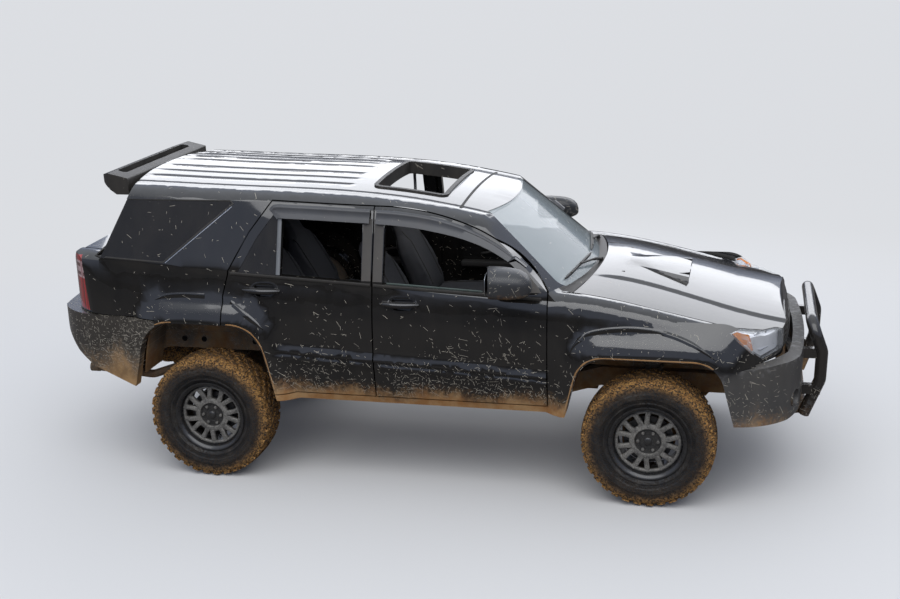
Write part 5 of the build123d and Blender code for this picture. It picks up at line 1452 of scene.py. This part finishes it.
back_rows = [
    (-1.6, 0.895, 0.225, 0.052, 0.01), (-1.63, 0.975, 0.238, 0.058, 0.022), (-1.665, 1.06, 0.243, 0.058, 0.028),
    (-1.705, 1.15, 0.243, 0.054, 0.028), (-1.742, 1.235, 0.236, 0.048, 0.022), (-1.772, 1.305, 0.205, 0.043, 0.012),
    (-1.796, 1.362, 0.158, 0.04, 0.004), (-1.818, 1.415, 0.136, 0.04, 0.002), (-1.838, 1.465, 0.124, 0.036, 0.0),
    (-1.85, 1.494, 0.098, 0.022, 0.0),
]
cushion_rows = [
    (-1.02, 0.902, 0.215, 0.034, 0.0), (-1.06, 0.898, 0.23, 0.058, 0.004), (-1.14, 0.894, 0.236, 0.07, 0.01),
    (-1.28, 0.888, 0.238, 0.07, 0.018), (-1.44, 0.884, 0.238, 0.066, 0.018), (-1.56, 0.88, 0.232, 0.062, 0.014),
    (-1.615, 0.88, 0.2, 0.05, 0.0),
]
rear_back_rows = [
    (-2.345, 0.925, 0.24, 0.044, 0.004), (-2.375, 0.99, 0.25, 0.05, 0.01), (-2.43, 1.09, 0.253, 0.05, 0.014),
    (-2.485, 1.19, 0.253, 0.046, 0.012), (-2.535, 1.285, 0.24, 0.04, 0.006), (-2.57, 1.35, 0.16, 0.034, 0.0),
    (-2.598, 1.405, 0.13, 0.034, 0.0), (-2.628, 1.46, 0.118, 0.03, 0.0), (-2.64, 1.484, 0.09, 0.018, 0.0),
]
rear_base_rows = [
    (-1.875, 0.905, 0.215, 0.04, 0.0), (-1.92, 0.9, 0.245, 0.06, 0.004), (-2.05, 0.895, 0.253, 0.064, 0.01),
    (-2.18, 0.908, 0.253, 0.052, 0.01), (-2.27, 0.94, 0.24, 0.032, 0.002),
]
seams = []
for side_name, side in SIDES:
    y = side * SEAT_Y
    gone = (f"front_seat_{side_name}",)
    back = finished_pad(f"seat_back_{side_name}", back_rows, y, 34, 0.016, 0.125, 0.99, 1.4, gone)
    base = finished_pad(f"seat_cushion_{side_name}", cushion_rows, y, 26, 0.016, 0.125, 0.9, 1.2)
    for off in (-0.128, 0.128):
        seams += piping(back, y + off, (-1.64, 0.985), (-0.205, 0.42), 22, (0.92, 0, 0.39))
        seams += piping(base, y + off, (-1.55, 0.9), (0.48, 0.0), 22, (0, 0, 1))
for number, (y, gone) in enumerate(((-0.262, ("rear_seat",)), (0.262, ()))):
    back = finished_pad(f"rear_back_{number}", rear_back_rows, y, 30, 0.012, 0.15, 1.0, 1.33, gone)
    finished_pad(f"rear_cushion_{number}", rear_base_rows, y, 20, 0.012, 0.15, 0.9, 1.1)
    for off in (-0.153, 0.153):
        seams += piping(back, y + off, (-2.4, 1.0), (-0.15, 0.32), 18, (0.88, 0, 0.47))
new_piece("seat_piping", join(seams, 60), "cabin_trim")

# seat frames, rails and the plastic side shields under the cushions
frames = []
for y in (SEAT_Y, -SEAT_Y):
    for off in (-0.17, 0.17):
        frames.append(block((ahead(-1.32), y + off, 0.676), (0.62, 0.04, 0.03), 0.004, 1))
    frames.append(block((ahead(-1.33), y, 0.765), (0.46, 0.38, 0.13), 0.02))
    for off in (0.243, -0.243):
        frames.append(block((ahead(-1.47), y + off, 0.885), (0.3, 0.02, 0.085), 0.008))
frames.append(block((ahead(-2.02), 0, 0.735), (0.17, 0.8, 0.14), 0.02))
new_piece("seat_frames", join(frames), "cabin_trim")

# dash: instrument hood, vents, blank screen, lever and console
dash_panel = probe("dashboard")
vents, dials = [], []
arc = [(ahead(-0.785), SEAT_Y + 0.165 * math.cos(a), 1.165 + 0.06 * math.sin(a)) for a in circle(32)[:17]]
detail = [tube(arc, 0.011, 10)]
dial_profile = [(0.0, 0.0), (0.044, 0.0), (0.048, -0.005), (0.051, -0.004), (0.051, 0.006), (0.0, 0.006)]
knob_profile = [(0.0, -0.02), (0.013, -0.019), (0.015, -0.012), (0.016, 0.0), (0.0, 0.0)]
for y in (0.3, 0.44):
    dials.append(put(lathe(dial_profile, 30), moved(ahead(-0.778), y, 1.155) @ turned(-90, "Z")))
for y, width in ((0.62, 0.1), (0.1, 0.11), (-0.1, 0.11), (-0.62, 0.1)):
    place, normal = meet(dash_panel, (-0.6, y, 1.135), (1, 0, 0))
    if place is None:
        continue
    slat = block(place + Vector((-0.004, 0, -0.026)), (0.016, width, 0.003), 0.001, 1)
    vents.append(repeated(slat, "dash_plastic", count=7, start=(0, 0, 0), step=(0, 0, 0.009)))
    for dz in (-0.036, 0.036):
        vents.append(block(place + Vector((-0.005, 0, dz)), (0.018, width + 0.016, 0.008), 0.003, 1))
    for dy in (-1, 1):
        edge = place + Vector((-0.005, dy * (width / 2 + 0.004), 0))
        vents.append(block(edge, (0.018, 0.008, 0.076), 0.003, 1))
for z, size in ((1.06, (0.014, 0.19, 0.085)), (0.975, (0.014, 0.17, 0.045))):
    place, normal = meet(dash_panel, (-0.6, 0.0, z), (1, 0, 0))
    if place:
        detail.append(block(place + Vector((-0.004, 0, 0)), size, 0.005))
        for y in (-0.07, 0.07):
            spot = moved(*(place + Vector((-0.01, y, 0)))) @ turned(-90, "Z")
            vents.append(put(lathe(knob_profile, 20), spot))
lever = [(ahead(-1.18), 0.0, 0.855), (ahead(-1.185), 0.0, 0.93), (ahead(-1.2), 0.0, 0.985)]
detail.append(tube(lever, [0.018, 0.009, 0.009], 10))
knob = bmesh.new()
bmesh.ops.create_uvsphere(knob, u_segments=18, v_segments=12, radius=0.024)
detail.append(put(knob, moved(ahead(-1.202), 0.0, 1.005) @ Matrix.Diagonal((1.15, 0.8, 1.2, 1))))
for y in (-0.055, 0.055):
    detail.append(block((ahead(-1.03), y, 0.866), (0.26, 0.012, 0.014), 0.004, 1))
detail.append(block((ahead(-1.4), 0, 0.885), (0.16, 0.15, 0.05), 0.014, 3))
new_piece("dash_details", join(detail), "gloss_plastic")
new_piece("dash_vents", join(vents), "dash_plastic")
new_piece("dash_dials", join(dials), "dial_face")

# door trims: armrest, pull and the lip under the window
lip_section = ([(-0.014, -0.001), (0.014, -0.001)], [(-0.014, 0.008), (-0.005, 0.014), (0.01, 0.01), (0.014, 0.002)])
for stem, low, high, body in (("front", -0.17, 0.64, FRONT_DOOR), ("rear", -0.79, -0.3, REAR_DOOR)):
    inner = probe(f"{stem}_door_right")
    rows = [from_cabin(inner, x, belt_at(x) - 0.03) for x in np.linspace(low, high, 20)]
    lip = laid([row for row in rows if row[0] is not None], lip_section)
    middle = (low + high) / 2 - 0.04
    wall = from_cabin(inner, middle, 1.02)[0].y
    rest = block((middle, wall + 0.026, 1.02), ((high - low) * 0.62, 0.066, 0.05), 0.018, 4)
    pull = [(-0.1, 0.002, 1.085), (-0.08, 0.034, 1.1), (0.08, 0.034, 1.125), (0.1, 0.002, 1.13)]
    pull = tube(smooth_path([(middle + x, wall + y, z) for x, y, z in pull], 5), 0.01, 10)
    both_sides(f"{stem}_door_trim", [lip, rest, pull], "cabin_trim", body)

# grab handle hung from the roof rail over each front seat
line = [
    (-0.34, -0.63, 1.712), (-0.335, -0.61, 1.69), (-0.331, -0.6, 1.64), (-0.333, -0.604, 1.585),
    (-0.341, -0.622, 1.556),
]
both_sides("grab_handle", [tube(smooth_path(line, 5), 0.011, 10, flat=0.7)], "pale_plastic")
# lip of the lowered front glass
rows = [from_side(front_panel, x, belt_at(x) - 0.004) for x in np.linspace(-0.15, 0.64, 24)]
strip = laid(rows, ([(-0.003, -0.03), (0.012, -0.03)], [(-0.003, -0.025), (0.012, -0.025)]))
both_sides("lowered_glass", [strip], "glass_edge", FRONT_DOOR)


# ---------------------------------------------------------------- underbody
def coil(x, y, low, high, radius, wire, turns):
    steps = turns * 14
    return tube([
        (x + radius * math.cos(a), y + radius * math.sin(a), low + (high - low) * i / steps)
        for i, a in enumerate(np.arange(steps + 1) * (2 * math.pi / 14))
    ], wire, 8)


def cup(x, y, z, inner, outer, thick):
    """A rolled seat for the end of a spring."""
    profile = [(inner, -thick), (outer - 0.002, -thick), (outer, 0.0), (outer - 0.002, thick), (inner, thick)]
    return put(lathe(profile, 28), moved(x, y, z) @ turned(90, "X"))


DIFFERENTIAL = moved(behind(-0.045), 0, 0.405) @ turned(90, "Z")
springs, dampers, fittings = [], [], []
for side in (1, -1):
    springs.append(coil(FRONT_AXLE, side * 0.545, 0.575, 0.855, 0.06, 0.0075, 7))
    springs.append(coil(behind(0.01), side * 0.36, 0.475, 0.85, 0.064, 0.007, 8))
    for z in (0.56, 0.862):
        fittings.append(cup(FRONT_AXLE, side * 0.545, z, 0.05, 0.074, 0.006))
    fittings.append(cup(behind(0.01), side * 0.36, 0.466, 0.058, 0.08, 0.008))
    foot, head = Vector((behind(-0.085), side * 0.47, 0.38)), Vector((behind(-0.24), side * 0.4, 0.72))
    dampers.append(tube([foot, foot.lerp(head, 0.55)], 0.026, 16))
    dampers.append(tube([foot.lerp(head, 0.5), head], 0.011, 12))
    for end in (foot, head):
        dampers.append(tube([end - Vector((0, 0.022, 0)), end + Vector((0, 0.022, 0))], 0.02, 14))
new_piece("coil_springs", join(springs, 60), "spring_paint")
new_piece("rear_dampers", join(dampers, 50), "spring_paint")

# differential covers with their bolts
flange = lathe([(0.12, -0.007), (0.147, -0.007), (0.149, 0.0), (0.147, 0.007), (0.12, 0.007)], 40)
fittings.append(put(flange, DIFFERENTIAL))
bolts = ring_of(block((0.138, -0.01, 0), (0.014, 0.01, 0.014), 0.003, 1), "steel_under", 12)
fittings.append(put(bolts, DIFFERENTIAL))
# exhaust seams, hangers and the end of the tail pipe
for x in (ahead(-1.935), ahead(-1.465)):
    seam = [(0.0955 * bulge(math.cos(a), 0.75), 0.0525 * bulge(math.sin(a), 0.75)) for a in circle(28)]
    fittings.append(tube([(x, y - 0.262, z + 0.5) for y, z in seam], 0.0045, 8, closed=True))
for x, y, z in ((behind(0.2), -0.255, 0.712), (behind(-0.7), -0.594, 0.6), (ahead(-0.9), -0.24, 0.525)):
    fittings.append(tube([(x, y, z), (x, y + 0.03, z + 0.05), (x, y + 0.05, z + 0.05)], 0.006, 8))
tip = lathe([(0.0275, 0.0), (0.032, 0.0), (0.0325, 0.06), (0.0275, 0.06)], 28)
fittings.append(put(tip, moved(behind(-0.905), -0.599, 0.596) @ turned(90, "Z")))
# tank straps and body mounts
strap_line = [(0.062, 0.6), (0.056, 0.5), (0.08, 0.468), (0.34, 0.468), (0.364, 0.5), (0.364, 0.6)]
for x in (behind(0.46), behind(0.66)):
    fittings.append(tube([(x, y, z) for y, z in strap_line], 0.006, 6))
mount_profile = [
    (0.0, -0.026), (0.032, -0.026), (0.036, -0.014), (0.03, 0.0), (0.036, 0.014), (0.032, 0.026), (0.0, 0.026),
]
for x in (ahead(-0.8), -0.2325, behind(0.78)):
    for side in (1, -1):
        fittings.append(put(lathe(mount_profile, 22), moved(x, side * 0.64, 0.588) @ turned(90, "X")))
new_piece("underbody_fittings", join(fittings, 50), "steel_under")

# holes along the frame rails, each a rolled lip round a near-black disc: painted shade standing in for the dark inside
# of the rail
lips, hole_shades = [], []
for side in (1, -1):
    for x in (0.33, 0.19, -0.17, -0.31):
        place = moved(behind(x), -0.512, 0.796)
        place = FLIP_Y @ place if side > 0 else place
        lips.append(put(lathe([(0.019, 0.002), (0.021, -0.0015), (0.026, 0.002)], 24), place))
        hole_shades.append(put(lathe([(0.0, -0.0006), (0.019, -0.0006), (0.019, 0.002), (0.0, 0.002)], 24), place))
new_piece("rail_hole_lips", join(lips), "frame_paint")
new_piece("rail_hole_shade", join(hole_shades), "painted_hole_shade")

# radiator behind the grille, and what fills the engine bay
core = [block((ahead(0.6), 0, 0.855), (0.034, 0.74, 0.27), 0.006, 1)]
fin = block((0, 0, 0), (0.004, 0.003, 0.262), 0.001, 1)
core.append(repeated(fin, "engine_cast", count=74, start=(ahead(0.619), -0.365, 0.855), step=(0, 0.01, 0)))
for y in (-0.385, 0.385):
    core.append(block((ahead(0.6), y, 0.855), (0.055, 0.034, 0.29), 0.01))
new_piece("radiator", join(core), "engine_cast")
bay = [block((ahead(-0.06), 0, 1.1115), (0.52, 0.34, 0.011), 0.005)]
for y in (-0.11, -0.055, 0.0, 0.055, 0.11):
    bay.append(block((ahead(-0.06), y, 1.118), (0.44, 0.014, 0.008)))
bay.append(block((ahead(0.3), 0.4, 0.98), (0.2, 0.17, 0.18), 0.01))
for y in (0.345, 0.455):
    bay.append(tube([(ahead(0.3), y, 1.068), (ahead(0.3), y, 1.082)], 0.009, 12))
bay.append(block((ahead(0.24), -0.4, 0.995), (0.24, 0.2, 0.15), 0.025, 3))
for radius, sides, line in (
    (0.022, 14, [(0.26, -0.1, 0.98), (0.36, -0.16, 1.0), (0.48, -0.24, 0.97), (0.585, -0.28, 0.95)]),
    (0.034, 16, [(0.13, -0.385, 1.0), (0.02, -0.34, 1.04), (-0.08, -0.24, 1.075)]),
):
    bay.append(tube(smooth_path([(ahead(x), y, z) for x, y, z in line], 6), radius, sides))
new_piece("engine_bay", join(bay, 40), "gloss_plastic")


# ---------------------------------------------------------------- stage
def in_scene(name, data):
    item = bpy.data.objects.new(name, data)
    bpy.context.scene.collection.objects.link(item)
    return item


def make_world():
    """A pale room, darker towards its floor; the camera sees it as one even tone."""
    world = bpy.data.worlds.new("studio")
    bpy.context.scene.world = world
    world.use_nodes = True
    t = Tree(world.node_tree)
    back = next(n for n in t.tree.nodes if n.type == "BACKGROUND")
    path = t.node("ShaderNodeLightPath").outputs
    direct = t.most(path["Is Camera Ray"], path["Is Transmission Ray"])
    height = t.split(t.node("ShaderNodeTexCoord").outputs["Generated"])[2]
    low = t.mix(t.spread(height, 0.01, 0.22), (0.045, 0.045, 0.048), (0.38, 0.43, 0.56))
    room = t.mix(t.spread(height, 0.4, 0.95), low, (0.86, 0.91, 1.0))
    t.fill(back, {"Color": t.mix(direct, room, (0.78, 0.78, 0.79))})


def make_floor(half=160.0):
    """A pale floor; far from the car it shows one even tone, so that no lamp's pool is seen on it."""
    mesh = bpy.data.meshes.new("floor")
    mesh.from_pydata([(-half, -half, 0), (half, -half, 0), (half, half, 0), (-half, half, 0)], [], [(0, 1, 2, 3)])
    t, shader, spot = start_material("pale_floor")
    seen = t.node("ShaderNodeLightPath").outputs["Is Camera Ray"]
    reach = t.node("ShaderNodeVectorMath", {0: spot}, operation="LENGTH").outputs["Value"]
    far_off = t.times(t.spread(reach, 3.4, 7.5), seen)
    lit = t.mix(seen, (0.13, 0.12, 0.11), (0.72, 0.71, 0.69))
    t.fill(shader, {
        "Base Color": t.mix(far_off, lit, (0.0, 0.0, 0.0)), "Emission Color": (0.7, 0.715, 0.745),
        "Emission Strength": far_off, "Roughness": 0.9, "Specular IOR Level": 0.1,
    })
    mesh.materials.append(materials["pale_floor"])
    in_scene("floor", mesh)


def make_lamp(name, place, target, size, power):
    lamp = bpy.data.lights.new(name, "AREA")
    lamp.shape = "RECTANGLE"
    lamp.size, lamp.size_y = size
    lamp.energy = power
    holder = in_scene(name, lamp)
    holder.location = place
    holder.rotation_euler = (Vector(target) - Vector(place)).to_track_quat("-Z", "Y").to_euler()


def make_camera():
    """The photograph's camera: high on the car's right, looking down at it."""
    camera = bpy.data.cameras.new("photo_camera")
    camera.sensor_width = 36.0
    camera.lens = 50.685
    camera.clip_end = 200.0
    eye = in_scene("photo_camera", camera)
    right = Vector((0.97381642, 0.22546486, -0.02910626))
    down = Vector((0.03720634, -0.28437121, -0.95799202))
    gaze = Vector((-0.22427052, 0.93182542, -0.28531407))
    look = Matrix((right, -down, -gaze)).transposed().to_4x4()
    eye.matrix_world = moved(0.51391 + FRONT_AXLE, -7.92821, 3.40733) @ look
    bpy.context.scene.camera = eye


bpy.context.scene.view_settings.view_transform = "Standard"
make_world()
make_floor()
make_lamp("key", (1.0, -7.0, 9.0), (0.0, 0.0, 0.6), (14.0, 8.0), 640)
make_lamp("far_panel", (0.0, 9.5, 5.2), (0.0, 0.0, 1.4), (15.0, 5.0), 400)
make_camera()
